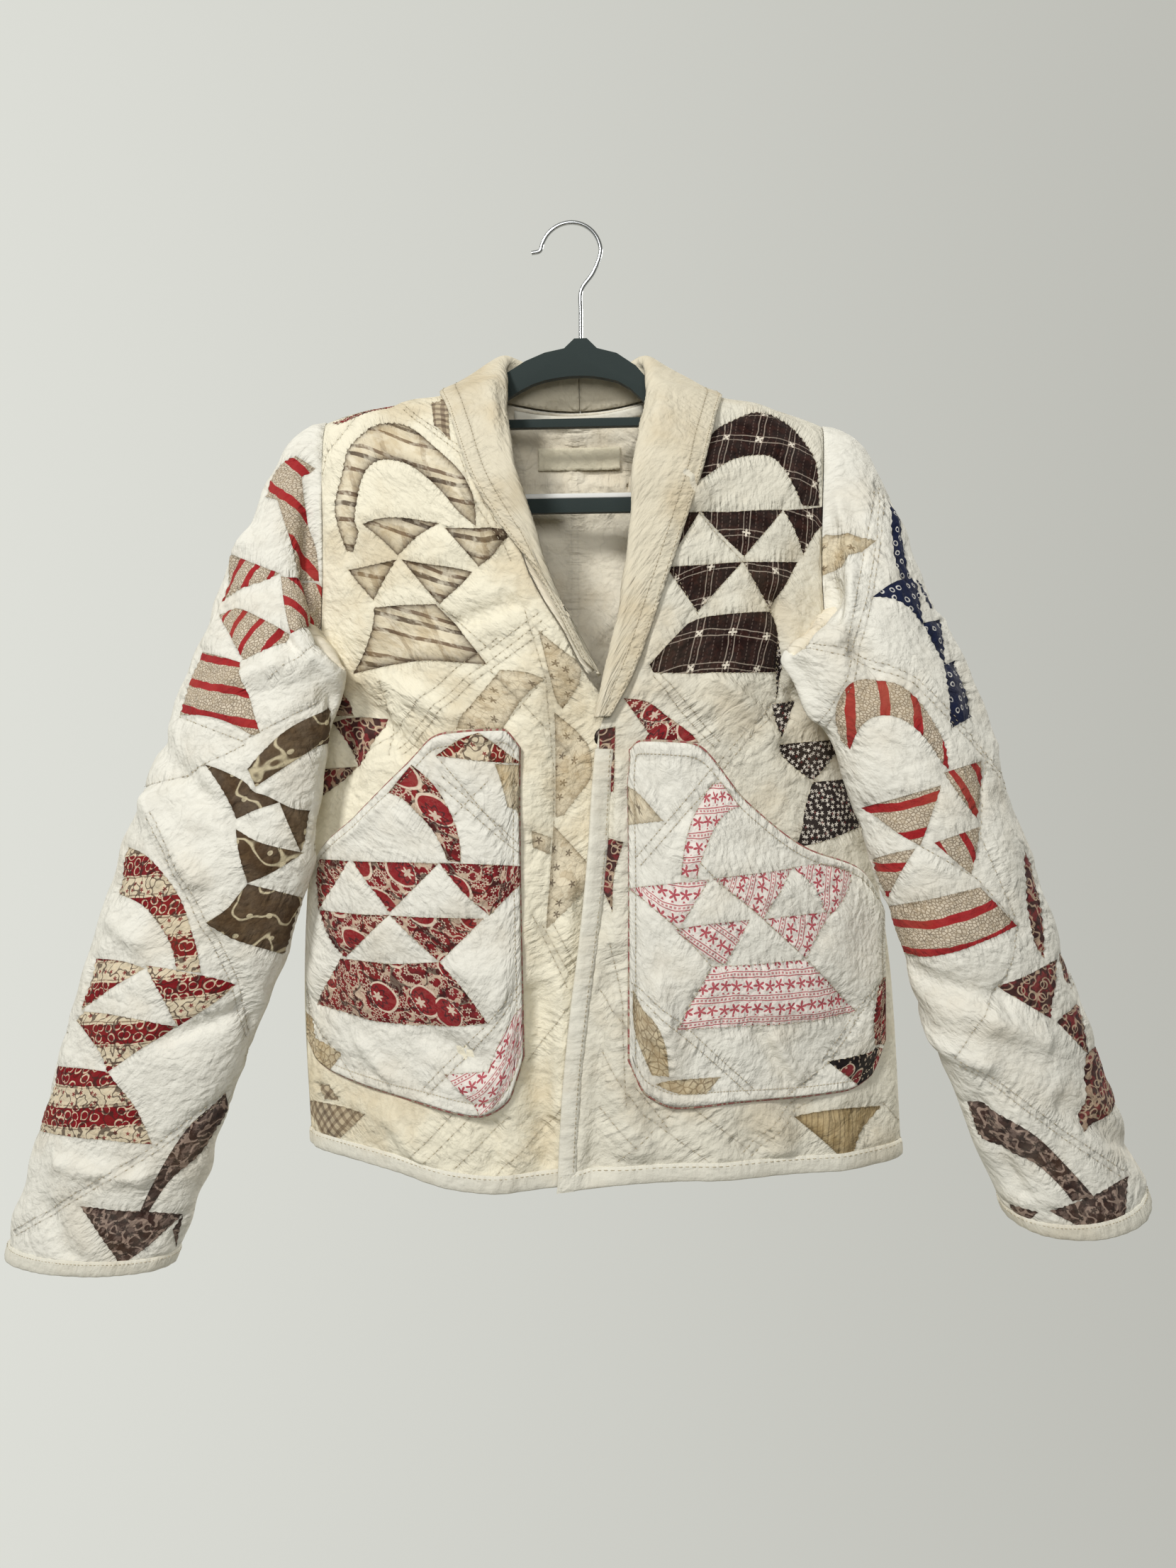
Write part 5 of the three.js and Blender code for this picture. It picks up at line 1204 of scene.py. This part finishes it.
def subdivided(points, step, closed=False):
    p = np.asarray(points, float)
    ends = np.vstack([p, p[:1]]) if closed else p
    rows = []
    for start, end in zip(ends[:-1], ends[1:]):
        count = max(1, int(np.ceil(np.linalg.norm(end - start) / step)))
        rows.append(start + (end - start) * np.arange(count)[:, None] / count)
    if not closed:
        rows.append(ends[-1:])
    return np.vstack(rows)


def eased(points):
    """An outline with its shallow corners rounded and its sharp ones kept."""
    p = np.asarray(points, float)
    for _ in range(2):
        before, after = p - np.roll(p, 1, axis=0), np.roll(p, -1, axis=0) - p
        shallow = (unit(before) * unit(after)).sum(axis=1) > 0.72
        rows = []
        for here, back, ahead, soft in zip(p, before, after, shallow):
            rows += [here - back / 4, here + ahead / 4] if soft else [here]
        p = np.array(rows)
    return p


def beside(line, away):
    """The same line, moved sideways."""
    along = unit(np.gradient(line, axis=0))
    return line + np.column_stack([-along[:, 1], along[:, 0]]) * away


def wrapped(panel, line):
    """A line on a tube is also drawn one turn to each side, to meet itself across the tube's opening."""
    if not panel.tube:
        return [line]
    return [line + (turns * panel.size[0], 0) for turns in (-1, 0, 1)]


def true_from_behind(panel, middle, shape):
    """A shape on the flat cloth, moved until it looks undistorted from behind."""
    across = [0, 2]
    centre = panel.at(np.array([middle], float))[0][:, across]
    moved = shape
    for _ in range(8):
        moved = moved + 0.8 * (centre + shape - middle - panel.at(moved)[0][:, across])
        moved = np.clip(moved, 3, panel.size - 3)
    return moved


def prepare(panel):
    """Places a panel's patches, seams and creases on its flat cloth."""
    panel.patches, panel.rows = [], []
    for fabric, turn, outlines in PATCHES.get(panel.name, []):
        for outline in outlines:
            shape = panel.from_photo(subdivided(eased(outline), 5, closed=True))
            panel.patches += [(fabric, turn, line) for line in wrapped(panel, shape)]
    for fabric, middle, scale in HIDDEN.get(panel.name, []):
        for outline in basket(middle, scale):
            shape = subdivided(outline, 3, closed=True)
            if panel.name == "back":
                shape = true_from_behind(panel, middle, shape)
            panel.patches += [(fabric, 0, line) for line in wrapped(panel, shape)]
    drawn = [(count, panel.from_photo(subdivided(line, 6))) for count, line in QUILTING.get(panel.name, [])]
    drawn += [(count, subdivided(line, 3)) for count, line in HIDDEN_ROWS.get(panel.name, [])]
    for count, line in drawn:
        sides = [0] if count == SINGLE else [-ROW_GAP, ROW_GAP]
        panel.rows += [part for side in sides for part in wrapped(panel, beside(line, side))]
    if panel.name.startswith("pocket"):
        corners = np.array([(0, 0), (1, 0), (1, 1), (0, 1)]) * (panel.size - 14) + 7
        panel.rows.append(subdivided(corners, 3, closed=True))
    if panel.name.startswith("collar"):
        width, length = panel.size
        panel.rows += [subdivided([(width - COLLAR_BAND, 0), (width - COLLAR_BAND, length)], 3)]
    samples = [subdivided(line, 1, closed=True) for _, _, line in panel.patches]
    samples += [subdivided(row, 1) for row in panel.rows]
    panel.along = np.concatenate([np.arange(len(s)) for s in samples] + [[0]])
    samples.append(np.array([[-1e4, -1e4]]))
    panel.tree = kdtree.KDTree(len(panel.along))
    for index, (a, b) in enumerate(np.vstack(samples)):
        panel.tree.insert((a, b, 0), index)
    panel.tree.balance()
    seen = CREASES.get(panel.name, [])
    creases = [(*panel.from_photo([start, end]), width, out) for start, end, width, out in seen]
    hidden = HIDDEN_CREASES.get(panel.name, [])
    creases += [(*np.array([start, end], float), width, out) for start, end, width, out in hidden]
    panel.creases = [(start + shift, end + shift, width, out) for start, end, width, out in creases
                     for shift in wrapped(panel, np.zeros(2))]


def relief(panel, places):
    """Height of the cloth above its net in mm, and the seam values that the cloths shade by."""
    points, _, _ = panel.at(places)
    found = [panel.tree.find((a, b, 0)) for a, b in places]
    away = np.minimum([f[2] for f in found], FAR)
    along = panel.along[[f[1] for f in found]]
    sides = np.minimum(places, panel.size - places)
    edge = sides[:, 1] if panel.tube else sides.min(axis=1)
    puff = PUFF * (1 - bell(away, PUFF_REACH)) - DIVE * bell(away, DIVE_REACH)
    ripple = np.sin(2 * np.pi * along / GATHER_PITCH + 2 * np.sin(along / GATHER_DRIFT))
    gathers = GATHER_HEIGHT * ripple * np.exp(-away / GATHER_REACH)
    waves = sum(np.sin(points @ wave + phase) for wave, phase in WAVES) * WAVE_HEIGHT
    bound = places[:, 1] if panel.name not in ("pocket_left", "pocket_right") else np.full(len(places), 99.0)
    if panel.name == "front_left":
        bound = np.minimum(bound, places[:, 0])
    taped = smooth(bound, 10, 18)
    height = (puff + gathers + waves) * smooth(edge, 0, 9) * taped
    for start, end, width, out in panel.creases:
        line = end - start
        t = np.clip((places - start) @ line / (line @ line), 0, 1)
        from_crease = np.linalg.norm(places - start - t[:, None] * line, axis=1)
        height = height + CREASE_DEPTH * out * bell(from_crease, width) * smooth(edge, 0, 14) * taped
    if panel.name.startswith("pocket"):
        height = height * smooth(edge, 4, 12) + 1.1 * bell(edge - 2.6, 3.2)
    if panel.name.startswith("collar"):
        height = height * 0.5 * smooth(edge, 2, 10)
    return height, np.column_stack([along, away, np.zeros(len(away))])


for panel in PANELS.values():
    prepare(panel)
print("seam samples", {name: len(panel.along) for name, panel in PANELS.items()})

# %% [markdown]
# A panel's mesh is a fine net of triangles that keeps every patch outline and every quilting row as edges,
# so colours meet in clean lines. It gets a lining side by thickening inward, as quilt layers do.

# %% Panel meshes
SPACING = {"back": 3.6, "sleeve_left": 2.8, "sleeve_right": 2.9}
SPACING_REST = 2.5
THIN_CLOTH = 2.2


def outlined(panel, spacing):
    """Triangles over a panel's flat cloth, with its patch outlines and quilting rows as edges."""
    width, length = panel.size
    corners = [(0, 0), (width, 0), (width, length), (0, length)]
    lines = [(subdivided(corners, spacing, closed=True), True)]
    lines += [(line, True) for _, _, line in panel.patches] + [(line, False) for line in panel.rows]
    points, edges = [], []
    for line, closed in lines:
        first, count = len(points), len(line)
        points += [tuple(p) for p in line]
        edges += [(first + i, first + (i + 1) % count) for i in range(count if closed else count - 1)]
    taken = kdtree.KDTree(len(points))
    for index, (a, b) in enumerate(points):
        taken.insert((a, b, 0), index)
    taken.balance()
    for row, b in enumerate(np.arange(spacing / 2, length, spacing * 0.866)):
        for a in np.arange(spacing * (0.25 + 0.5 * (row % 2)), width, spacing):
            if taken.find((a, b, 0))[2] > spacing * 0.6:
                points.append((a, b))
    found, _, faces, *_ = geometry.delaunay_2d_cdt([Vector(p) for p in points], edges, [], 0, 0.02, False)
    places = np.array([tuple(p) for p in found])
    faces = np.array(faces)
    middles = places[faces].mean(axis=1)
    within = ((middles > 0) & (middles < panel.size)).all(axis=1)
    return places, faces[within], middles[within]


def inside(points, outline):
    """Which points lie within an outline."""
    x, y = points.T
    hit = np.zeros(len(points), bool)
    for (ax, ay), (bx, by) in zip(outline, np.roll(outline, -1, axis=0)):
        if ay != by:
            hit ^= ((ay > y) != (by > y)) & (x < (bx - ax) * (y - ay) / (by - ay) + ax)
    return hit


def new_piece(name, points, faces, materials, values=None):
    """An object from points in mm, smooth shaded, with an optional seam value at each point."""
    mesh = bpy.data.meshes.new(name)
    mesh.from_pydata(np.asarray(points) * MM, [], [tuple(int(i) for i in face) for face in faces])
    for material in materials:
        mesh.materials.append(CLOTHS.get(material, None) or bpy.data.materials[material])
    if values is not None:
        mesh.attributes.new("seam", "FLOAT_VECTOR", "POINT").data.foreach_set("vector", values.ravel())
    mesh.shade_smooth()
    piece = bpy.data.objects.new(name, mesh)
    bpy.context.scene.collection.objects.link(piece)
    return piece


def apply_modifier(piece, kind, **settings):
    modifier = piece.modifiers.new(kind.lower(), kind)
    for key, value in settings.items():
        setattr(modifier, key, value)
    bpy.context.view_layer.objects.active = piece
    bpy.ops.object.modifier_apply(modifier=modifier.name)


def evenness(places, faces, along):
    """1 where the way along the nearest seam runs on evenly, and 0 where another seam becomes the nearest."""
    ends = np.vstack([faces[:, [0, 1]], faces[:, [1, 2]], faces[:, [2, 0]]])
    a, b = ends.T
    apart = np.linalg.norm(places[a] - places[b], axis=1)
    jump = np.abs(along[a] - along[b]) > 1.6 * apart + 0.5
    level = np.ones(len(places))
    level[ends[jump].ravel()] = 0
    count = np.bincount(ends.ravel(), minlength=len(level))
    for _ in range(2):
        around = np.bincount(a, level[b], len(level)) + np.bincount(b, level[a], len(level))
        level = np.minimum(level, around / count)
    return level


def sew(name, thick):
    """One panel as a finished piece."""
    panel = PANELS[name]
    places, faces, middles = outlined(panel, SPACING.get(name, SPACING_REST))
    patch = np.full(len(faces), -1)
    for index, (_, _, outline) in enumerate(panel.patches):
        patch[inside(middles, outline)] = index
    used, faces = np.unique(faces, return_inverse=True)
    faces = faces.reshape(-1, 3)
    places = places[used]
    points, flat, normals = panel.at(places)
    height, values = relief(panel, places)
    values[:, 2] = evenness(places, faces, values[:, 0])
    if panel.sign < 0:
        faces = faces[:, ::-1]
    ground = GROUND.get(name, "muslin")
    materials = [ground] + sorted({fabric for fabric, _, _ in panel.patches}) + ["backing"]
    piece = new_piece(name + "_cloth", points + normals * height[:, None], faces, materials, values)
    turns = np.array([0.0] + [math.radians(turn) for _, turn, _ in panel.patches])[patch + 1]
    slots = np.array([0] + [materials.index(fabric) for fabric, _, _ in panel.patches])[patch + 1]
    piece.data.polygons.foreach_set("material_index", slots.astype(np.int32))
    u, v = flat[faces].transpose(2, 0, 1)
    cosine, sine = np.cos(turns)[:, None], np.sin(turns)[:, None]
    print_places = np.dstack([u * cosine + v * sine, v * cosine - u * sine]) / PRINT_UNIT
    piece.data.uv_layers.new(name="print").data.foreach_set("uv", print_places.ravel())
    if panel.tube:
        apply_modifier(piece, "WELD", merge_threshold=0.05 * MM)
    apply_modifier(piece, "SOLIDIFY", thickness=thick * MM, offset=-1, material_offset=len(materials))
    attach(piece, BODY)
    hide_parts(name)
    return piece


for name in NETS:
    sew(name, THIN_CLOTH if name.startswith("collar") or name.startswith("pocket") else CLOTH)

# %% [markdown]
# Raw edges of a quilt fray, so a maker binds them with cotton tape. The tape is folded over the edge and
# stitched down, and it gathers a little because the quilt under it is soft.

# %% Bindings
TAPE_PROFILE = [(12.6, 0.2), (12.3, 1.1), (9, 1.7), (4, 1.8), (0.5, 1.5), (-0.9, 0.6), (-1.3, -1),
                (-0.9, -2.6), (0.5, -3.3), (6, -3.5), (11, -3.5), (11.4, -2.8)]
TAPE_STEP = 2.5
TAPE_STITCH = 10.2


def past_edge(panel, places, above):
    """Points above the net, carried straight on where a place lies past the panel's edge."""
    kept = np.clip(places, 0, panel.size)
    past = places - kept
    points, _, normals = panel.at(kept)
    inner, _, _ = panel.at(kept - np.sign(past) * 3)
    reach = np.linalg.norm(past, axis=1)[:, None]
    return points + (points - inner) / 3 * reach + normals * np.asarray(above)[:, None]


def tape_strip(panel, axis, start, end):
    """Points, faces and seam values of tape along one edge of a panel; axis 0 runs across and 1 runs up."""
    along = np.linspace(start, end, int(abs(end - start) / TAPE_STEP) + 1)
    v, above = np.array(TAPE_PROFILE).T
    gather = np.sin(along / 1.9 + 1.5 * np.sin(along / 11)) * 0.28 + np.sin(along / 7.3) * 0.2
    t, v_all = (grid.ravel() for grid in np.meshgrid(along, v, indexing="ij"))
    lift = (above[None, :] + gather[:, None] * (above > -1)[None, :]).ravel()
    ways = np.column_stack([t, v_all] if axis == 0 else [v_all, t])
    points = past_edge(panel, ways, lift)
    count = len(v)
    faces = [(r * count + c, r * count + c + 1, (r + 1) * count + c + 1, (r + 1) * count + c)
             for r in range(len(along) - 1) for c in range(count - 1)]
    values = np.column_stack([t, np.abs(v_all - TAPE_STITCH), np.ones(len(t))])
    flat = np.column_stack([t, v_all]) / PRINT_UNIT
    return points, faces, values, flat


def bind(name, strips, *nodes):
    """One piece of tape made of strips, standing for its CAD nodes."""
    points, faces, values, flat = [], [], [], []
    for strip_points, strip_faces, strip_values, strip_flat in strips:
        first = sum(len(p) for p in points)
        points.append(strip_points)
        faces += [tuple(first + i for i in face) for face in strip_faces]
        values.append(strip_values)
        flat.append(strip_flat)
    piece = new_piece(name, np.vstack(points), faces, ["tape"], np.vstack(values))
    corners = np.array([i for face in faces for i in face])
    piece.data.uv_layers.new(name="print").data.foreach_set("uv", np.vstack(flat)[corners].ravel())
    bpy.context.view_layer.objects.active = piece
    piece.select_set(True)
    bpy.ops.object.mode_set(mode="EDIT")
    bpy.ops.mesh.select_all(action="SELECT")
    bpy.ops.mesh.normals_make_consistent(inside=False)
    bpy.ops.object.mode_set(mode="OBJECT")
    piece.select_set(False)
    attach(piece, BODY)
    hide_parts(*nodes)
    return piece


FOOT_Z = -418
left, right, back = PANELS["front_left"], PANELS["front_right"], PANELS["back"]
foot_b = left.b[np.searchsorted(left.fine[:, 0, 2], FOOT_Z)]
bind("hem_binding", [tape_strip(p, 0, 0, p.size[0]) for p in (left, back, right)],
                          "hem_tape")
bind("front_binding", [tape_strip(left, 1, -1, foot_b)], "front_edge_tape")
for side in ("right", "left"):
    arm = PANELS["sleeve_" + side]
    bind("cuff_binding_" + side, [tape_strip(arm, 0, 0, arm.size[0])],
                                       "cuff_tape_" + side)
print("bindings done, front tape ends at", round(float(foot_b)), "mm above the hem")

# %% [markdown]
# Stitches are small and many. Each is a slim grain of thread lying on the cloth, thick in the middle and
# dipping in at both ends. They mark the pocket edges, the bindings, the collar band and the quilting rows.

# %% Stitches
def spaced(line, pitch):
    """Points along a line at an even pitch, and the way the line runs there."""
    steps = np.concatenate([[0], np.cumsum(np.linalg.norm(np.diff(line, axis=0), axis=1))])
    at = np.arange(pitch / 2, steps[-1], pitch)
    points = np.column_stack([np.interp(at, steps, line[:, k]) for k in (0, 1)])
    ahead = np.column_stack([np.interp(at + 0.5, steps, line[:, k]) for k in (0, 1)])
    behind = np.column_stack([np.interp(at - 0.5, steps, line[:, k]) for k in (0, 1)])
    return points, unit(ahead - behind)


def stitch(name, runs):
    """A piece of stitches. A run is a panel, a line on it, and a stitch's pitch, length, width and lift."""
    points, faces = [], []
    ring = np.array([(1, 0), (0, 1), (-1, 0), (0, -1)])
    for panel, line, pitch, length, width, lift in runs:
        middles, ways = spaced(np.asarray(line, float), pitch)
        within = ((middles > 0.5) & (middles < panel.size - 0.5)).all(axis=1)
        middles, ways = middles[within], ways[within]
        if len(middles) == 0:
            continue
        height, _ = relief(panel, middles)
        _, _, ups = panel.at(middles)
        raised = ups * (height + lift - 0.25)[:, None]
        ends = [panel.at(middles + ways * length / 2 * end)[0] + raised for end in (-1, 1)]
        run = unit(ends[1] - ends[0])
        side = np.cross(run, ups)
        for start, end, up, across in zip(*ends, ups, side):
            first = len(points)
            points.append(start)
            for share in (0.25, 0.75):
                here = lerp(start, end, share) + up * 0.3
                points += [here + across * r * width / 2 + up * s * width / 2 for r, s in ring]
            points.append(end)
            for k in range(4):
                n = (k + 1) % 4
                faces += [(first, first + 1 + n, first + 1 + k), (first + 9, first + 5 + k, first + 5 + n),
                          (first + 1 + k, first + 1 + n, first + 5 + n, first + 5 + k)]
    values = np.tile([0.0, 6.0, 0.0], (len(points), 1))
    piece = new_piece(name, points, faces, ["thread"], values)
    corners = sum(len(face) for face in faces)
    piece.data.uv_layers.new(name="print").data.foreach_set("uv", np.zeros(corners * 2))
    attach(piece, BODY)
    return piece


QUILT_STITCH = (4.2, 2.6, 0.55, 0.1)
EDGE_STITCH = (2.9, 2.1, 0.6, 0.15)
BINDING_STITCH = (3.4, 2.3, 0.6, 1.7)
thread_runs = {}
for name, panel in PANELS.items():
    fine = name.startswith("pocket") or name.startswith("collar")
    thread_runs[name] = [(panel, line, *(EDGE_STITCH if fine else QUILT_STITCH)) for line in panel.rows]
    if name.startswith("pocket") or name.startswith("front"):
        thread_runs[name] += [(panel, np.vstack([line, line[:1]]), *QUILT_STITCH)
                              for _, _, line in panel.patches]
for panel in (left, right, back, PANELS["sleeve_left"], PANELS["sleeve_right"]):
    across = np.column_stack([np.linspace(0, panel.size[0], 120), np.full(120, TAPE_STITCH)])
    thread_runs[panel.name].append((panel, across, *BINDING_STITCH))
up_edge = np.column_stack([np.full(120, TAPE_STITCH), np.linspace(12, foot_b, 120)])
thread_runs["front_left"].append((left, up_edge, *BINDING_STITCH))
for name in ("collar_left", "collar_right"):
    panel = PANELS[name]
    edge_line = np.column_stack([np.full(120, panel.size[0] - 2.5), np.linspace(0, panel.size[1], 120)])
    thread_runs[name].append((panel, edge_line, *EDGE_STITCH))
for name, runs in thread_runs.items():
    stitch("stitches_" + name, runs)

# %% [markdown]
# The pockets have a narrow piping of red print round them, which is a cord wrapped in a strip of cloth.

# %% Pocket piping
PIPING_RADIUS = 1.1
PIPING_SIDES = 6


def cord_round(panel):
    corners = np.array([(0, 0), (1, 0), (1, 1), (0, 1)]) * (panel.size + 1) - 0.5
    route = subdivided(corners, 3, closed=True)
    middle = past_edge(panel, route, np.full(len(route), -1.1))
    run = unit(np.roll(middle, -1, axis=0) - np.roll(middle, 1, axis=0))
    _, _, ups = panel.at(route)
    side = unit(np.cross(run, ups))
    turn = np.arange(PIPING_SIDES) * 2 * np.pi / PIPING_SIDES
    ring = side[:, None] * np.cos(turn)[:, None] + ups[:, None] * np.sin(turn)[:, None]
    points = middle[:, None] + PIPING_RADIUS * ring
    count = len(route)
    faces = [(r * PIPING_SIDES + k, r * PIPING_SIDES + (k + 1) % PIPING_SIDES,
              (r + 1) % count * PIPING_SIDES + (k + 1) % PIPING_SIDES, (r + 1) % count * PIPING_SIDES + k)
             for r in range(count) for k in range(PIPING_SIDES)]
    flat = np.repeat(route, PIPING_SIDES, axis=0) / PRINT_UNIT
    return points.reshape(-1, 3), faces, flat


for side in ("right", "left"):
    points, faces, flat = cord_round(PANELS["pocket_" + side])
    far_from_seams = np.tile([0.0, 9.0, 0.0], (len(points), 1))
    piece = new_piece("piping_" + side, points, faces, ["red_piping"], far_from_seams)
    piece.data.uv_layers.new(name="print").data.foreach_set("uv", flat[np.array(faces).ravel()].ravel())
    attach(piece, BODY)

# %% [markdown]
# Inside the neck a tape covers the seam, and below it sits a plain cotton label. Both lie on the lining of
# the back.

# %% Neck tape and label
WALL = 2.8
LINING_GAP = 1


def lining_patch(name, across, rise, out, material, node):
    """A small cloth on the lining: across is its range of x, rise its lower and upper height at an x."""
    x = np.linspace(*across, 40)
    shares = np.linspace(0, 1, 9)
    grid = []
    for share in shares:
        z = np.array([lerp(*rise(value), share) for value in x])
        bulge = out * np.sqrt(np.clip(1 - (2 * share - 1) ** 4, 0.1, 1))
        grid.append(np.column_stack([x, back_y(x, z) - WALL - LINING_GAP - bulge, z]))
    points = np.vstack(grid)
    count = len(x)
    faces = [(r * count + c, r * count + c + 1, (r + 1) * count + c + 1, (r + 1) * count + c)
             for r in range(len(shares) - 1) for c in range(count - 1)]
    away = np.minimum(shares, 1 - shares)[:, None] * 18 + np.zeros(count)
    values = np.column_stack([np.tile(x, len(shares)), away.ravel(), np.zeros(len(points))])
    piece = new_piece(name, points, faces, [material], values)
    flat = np.column_stack([points[:, 0], points[:, 2]]) / PRINT_UNIT
    piece.data.uv_layers.new(name="print").data.foreach_set("uv", flat[np.array(faces).ravel()].ravel())
    apply_modifier(piece, "SOLIDIFY", thickness=0.6 * MM, offset=0)
    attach(piece, BODY)
    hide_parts(node)
    return piece


def neck_tape_rise(x):
    upper = -134 - NECK_DROP * (1 - ((x - 0.5) / 78) ** 2)
    return upper - 8, upper


lining_patch("neck_binding", (-47, 57), neck_tape_rise, 3, "tape", "neck_tape")
lining_patch("bare_label", (-29, 38), lambda x: (-186, -168), 0.8, "label_cotton", "label")
print("neck tape and label laid in")

# %% [markdown]
# The hanger is a flocked plastic frame with a wire hook. Its solid has sharp edges, so a copy gets rounded
# ones. The hook is one wire of even thickness, bent round a form, so it is swept along its middle line.

# %% Hanger, hook, grip strip and snap
def plain(name, code, rough, metal=0, grain=0, sheen=0):
    material = bpy.data.materials.new(name)
    material.use_nodes = True
    tree = material.node_tree
    tree.nodes.clear()
    place = add(tree, "TexCoord", out=3)
    bumps = add(tree, "TexNoise", place, None, 1600, 2, 0.6)
    normal = add(tree, "Bump", named={"Strength": grain, "Distance": 0.3 * MM, "Height": bumps})
    shader = add(tree, "BsdfPrincipled", named={"Base Color": linear(code), "Roughness": rough,
                                                "Metallic": metal, "Sheen Weight": sheen, "Normal": normal})
    add(tree, "OutputMaterial", shader)
    return material


plain("velvet_flock", "#1d2a28", 0.85, grain=0.6, sheen=0.25)
plain("polished_steel", "#c4c6c6", 0.22, metal=1)
plain("pale_grip", "#d8d8d3", 0.55)
plain("oxidised_brass", "#3a332e", 0.4, metal=1)


def copy_of(node, name, material, bevel):
    """A copy of a CAD node with its edges rounded."""
    bpy.ops.object.select_all(action="DESELECT")
    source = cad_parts[node]
    source.select_set(True)
    bpy.context.view_layer.objects.active = source
    bpy.ops.object.duplicate()
    piece = bpy.context.view_layer.objects.active
    piece.name = name
    bpy.ops.object.mode_set(mode="EDIT")
    bpy.ops.mesh.select_all(action="SELECT")
    bpy.ops.mesh.remove_doubles(threshold=0.01 * MM)
    bpy.ops.mesh.tris_convert_to_quads()
    bpy.ops.object.mode_set(mode="OBJECT")
    apply_modifier(piece, "BEVEL", width=bevel * MM, segments=4, limit_method="ANGLE",
                   angle_limit=math.radians(50))
    bpy.ops.object.shade_smooth_by_angle(angle=math.radians(40))
    piece.data.materials.clear()
    piece.data.materials.append(bpy.data.materials[material])
    piece.select_set(False)
    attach(piece, BODY)
    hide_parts(node)
    return piece


WIRE = 1.7
HOOK_BEND = 22 + WIRE
HUB_X = 8
HUB_TOP = -91
arc = [(HOOK_BEND * math.cos(a), WIRE - HOOK_BEND + HOOK_BEND * math.sin(a))
       for a in np.radians(np.arange(0, 161, 20))]
hook_route = [(HUB_X, HUB_TOP), (HUB_X, -70), (HUB_X + 0.5, -52), (HUB_X + 10, -38), *arc, (-24.5, -20),
              (-31, -21.5)]
hook_at = space_curve([(x, 0, z) for x, z in hook_route])
hook_line = np.array([hook_at(share) for share in np.linspace(0, 1, 140)]) * MM
hook_curve = bpy.data.curves.new("wire_hook", "CURVE")
hook_curve.dimensions = "3D"
hook_curve.bevel_depth = WIRE * MM
hook_curve.bevel_resolution = 4
hook_curve.use_fill_caps = True
wire = hook_curve.splines.new("POLY")
wire.points.add(len(hook_line) - 1)
wire.points.foreach_set("co", np.column_stack([hook_line, np.ones(len(hook_line))]).ravel())
hook = bpy.data.objects.new("wire_hook", hook_curve)
bpy.context.scene.collection.objects.link(hook)
bpy.ops.object.select_all(action="DESELECT")
hook.select_set(True)
bpy.context.view_layer.objects.active = hook
bpy.ops.object.convert(target="MESH")
bpy.ops.object.shade_smooth_by_angle(angle=math.radians(40))
hook.data.materials.append(bpy.data.materials["polished_steel"])
hook.select_set(False)
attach(hook, BODY)
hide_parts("hook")
copy_of("hanger", "flocked_hanger", "velvet_flock", 1.6)
copy_of("grip_strip", "pale_grip_strip", "pale_grip", 1)
copy_of("snap", "snap_button", "oxidised_brass", 0.4)

# %% [markdown]
# The flat places of each cloth piece are read from its panel.


for name, panel in PANELS.items():
    flat = panel.fine[..., 3:5]

# %% [markdown]
# The coat hangs free in soft daylight from the upper left, over a small pale floor.

# %% Stage and light
FLOOR_Z = -2.2
FLOOR_HALF = 1
floor_mesh = bpy.data.meshes.new("floor")
floor_mesh.from_pydata([(x * FLOOR_HALF, y * FLOOR_HALF, FLOOR_Z)
                        for x, y in ((-1, -1), (1, -1), (1, 1), (-1, 1))],
                       [], [(0, 1, 2, 3)])
floor = bpy.data.objects.new("floor", floor_mesh)
bpy.context.scene.collection.objects.link(floor)
pale = bpy.data.materials.new("pale_floor")
pale.use_nodes = True
pale.node_tree.nodes["Principled BSDF"].inputs["Base Color"].default_value = linear("#cfcdc6")
pale.node_tree.nodes["Principled BSDF"].inputs["Roughness"].default_value = 0.9
floor_mesh.materials.append(pale)
world = bpy.data.worlds.new("world")
bpy.context.scene.world = world
world.use_nodes = True
world_tree = world.node_tree
way = add(world_tree, "TexCoord")
across_room = add(world_tree, "MapRange", add(world_tree, "SeparateXYZ", way), -0.5, 0.45, 0, 1)
wall_light = over(world_tree, linear("#dedfd8"), across_room, linear("#b9b9b2"))
far_side = add(world_tree, "MapRange", add(world_tree, "SeparateXYZ", way, out=1), -0.4, 0.6, 0.24, 1)
world_tree.links.new(wall_light, world_tree.nodes["Background"].inputs["Color"])
world_tree.links.new(far_side, world_tree.nodes["Background"].inputs["Strength"])


def area_light(name, place, target, size, watts):
    data = bpy.data.lights.new(name, "AREA")
    data.energy = watts
    data.size = size
    light = bpy.data.objects.new(name, data)
    light.location = place
    light.rotation_euler = (Vector(target) - Vector(place)).to_track_quat("-Z", "Y").to_euler()
    bpy.context.scene.collection.objects.link(light)


area_light("window", (-1.3, -2.7, 1.6), (0, 0, -0.45), 0.7, 94)
area_light("room", (0.3, -3.0, 0.3), (0, 0, -0.4), 1.2, 34)
area_light("behind", (2.6, 2.2, 1.0), (0, 0, -0.45), 1.0, 60)
bpy.context.scene.view_settings.view_transform = "Standard"
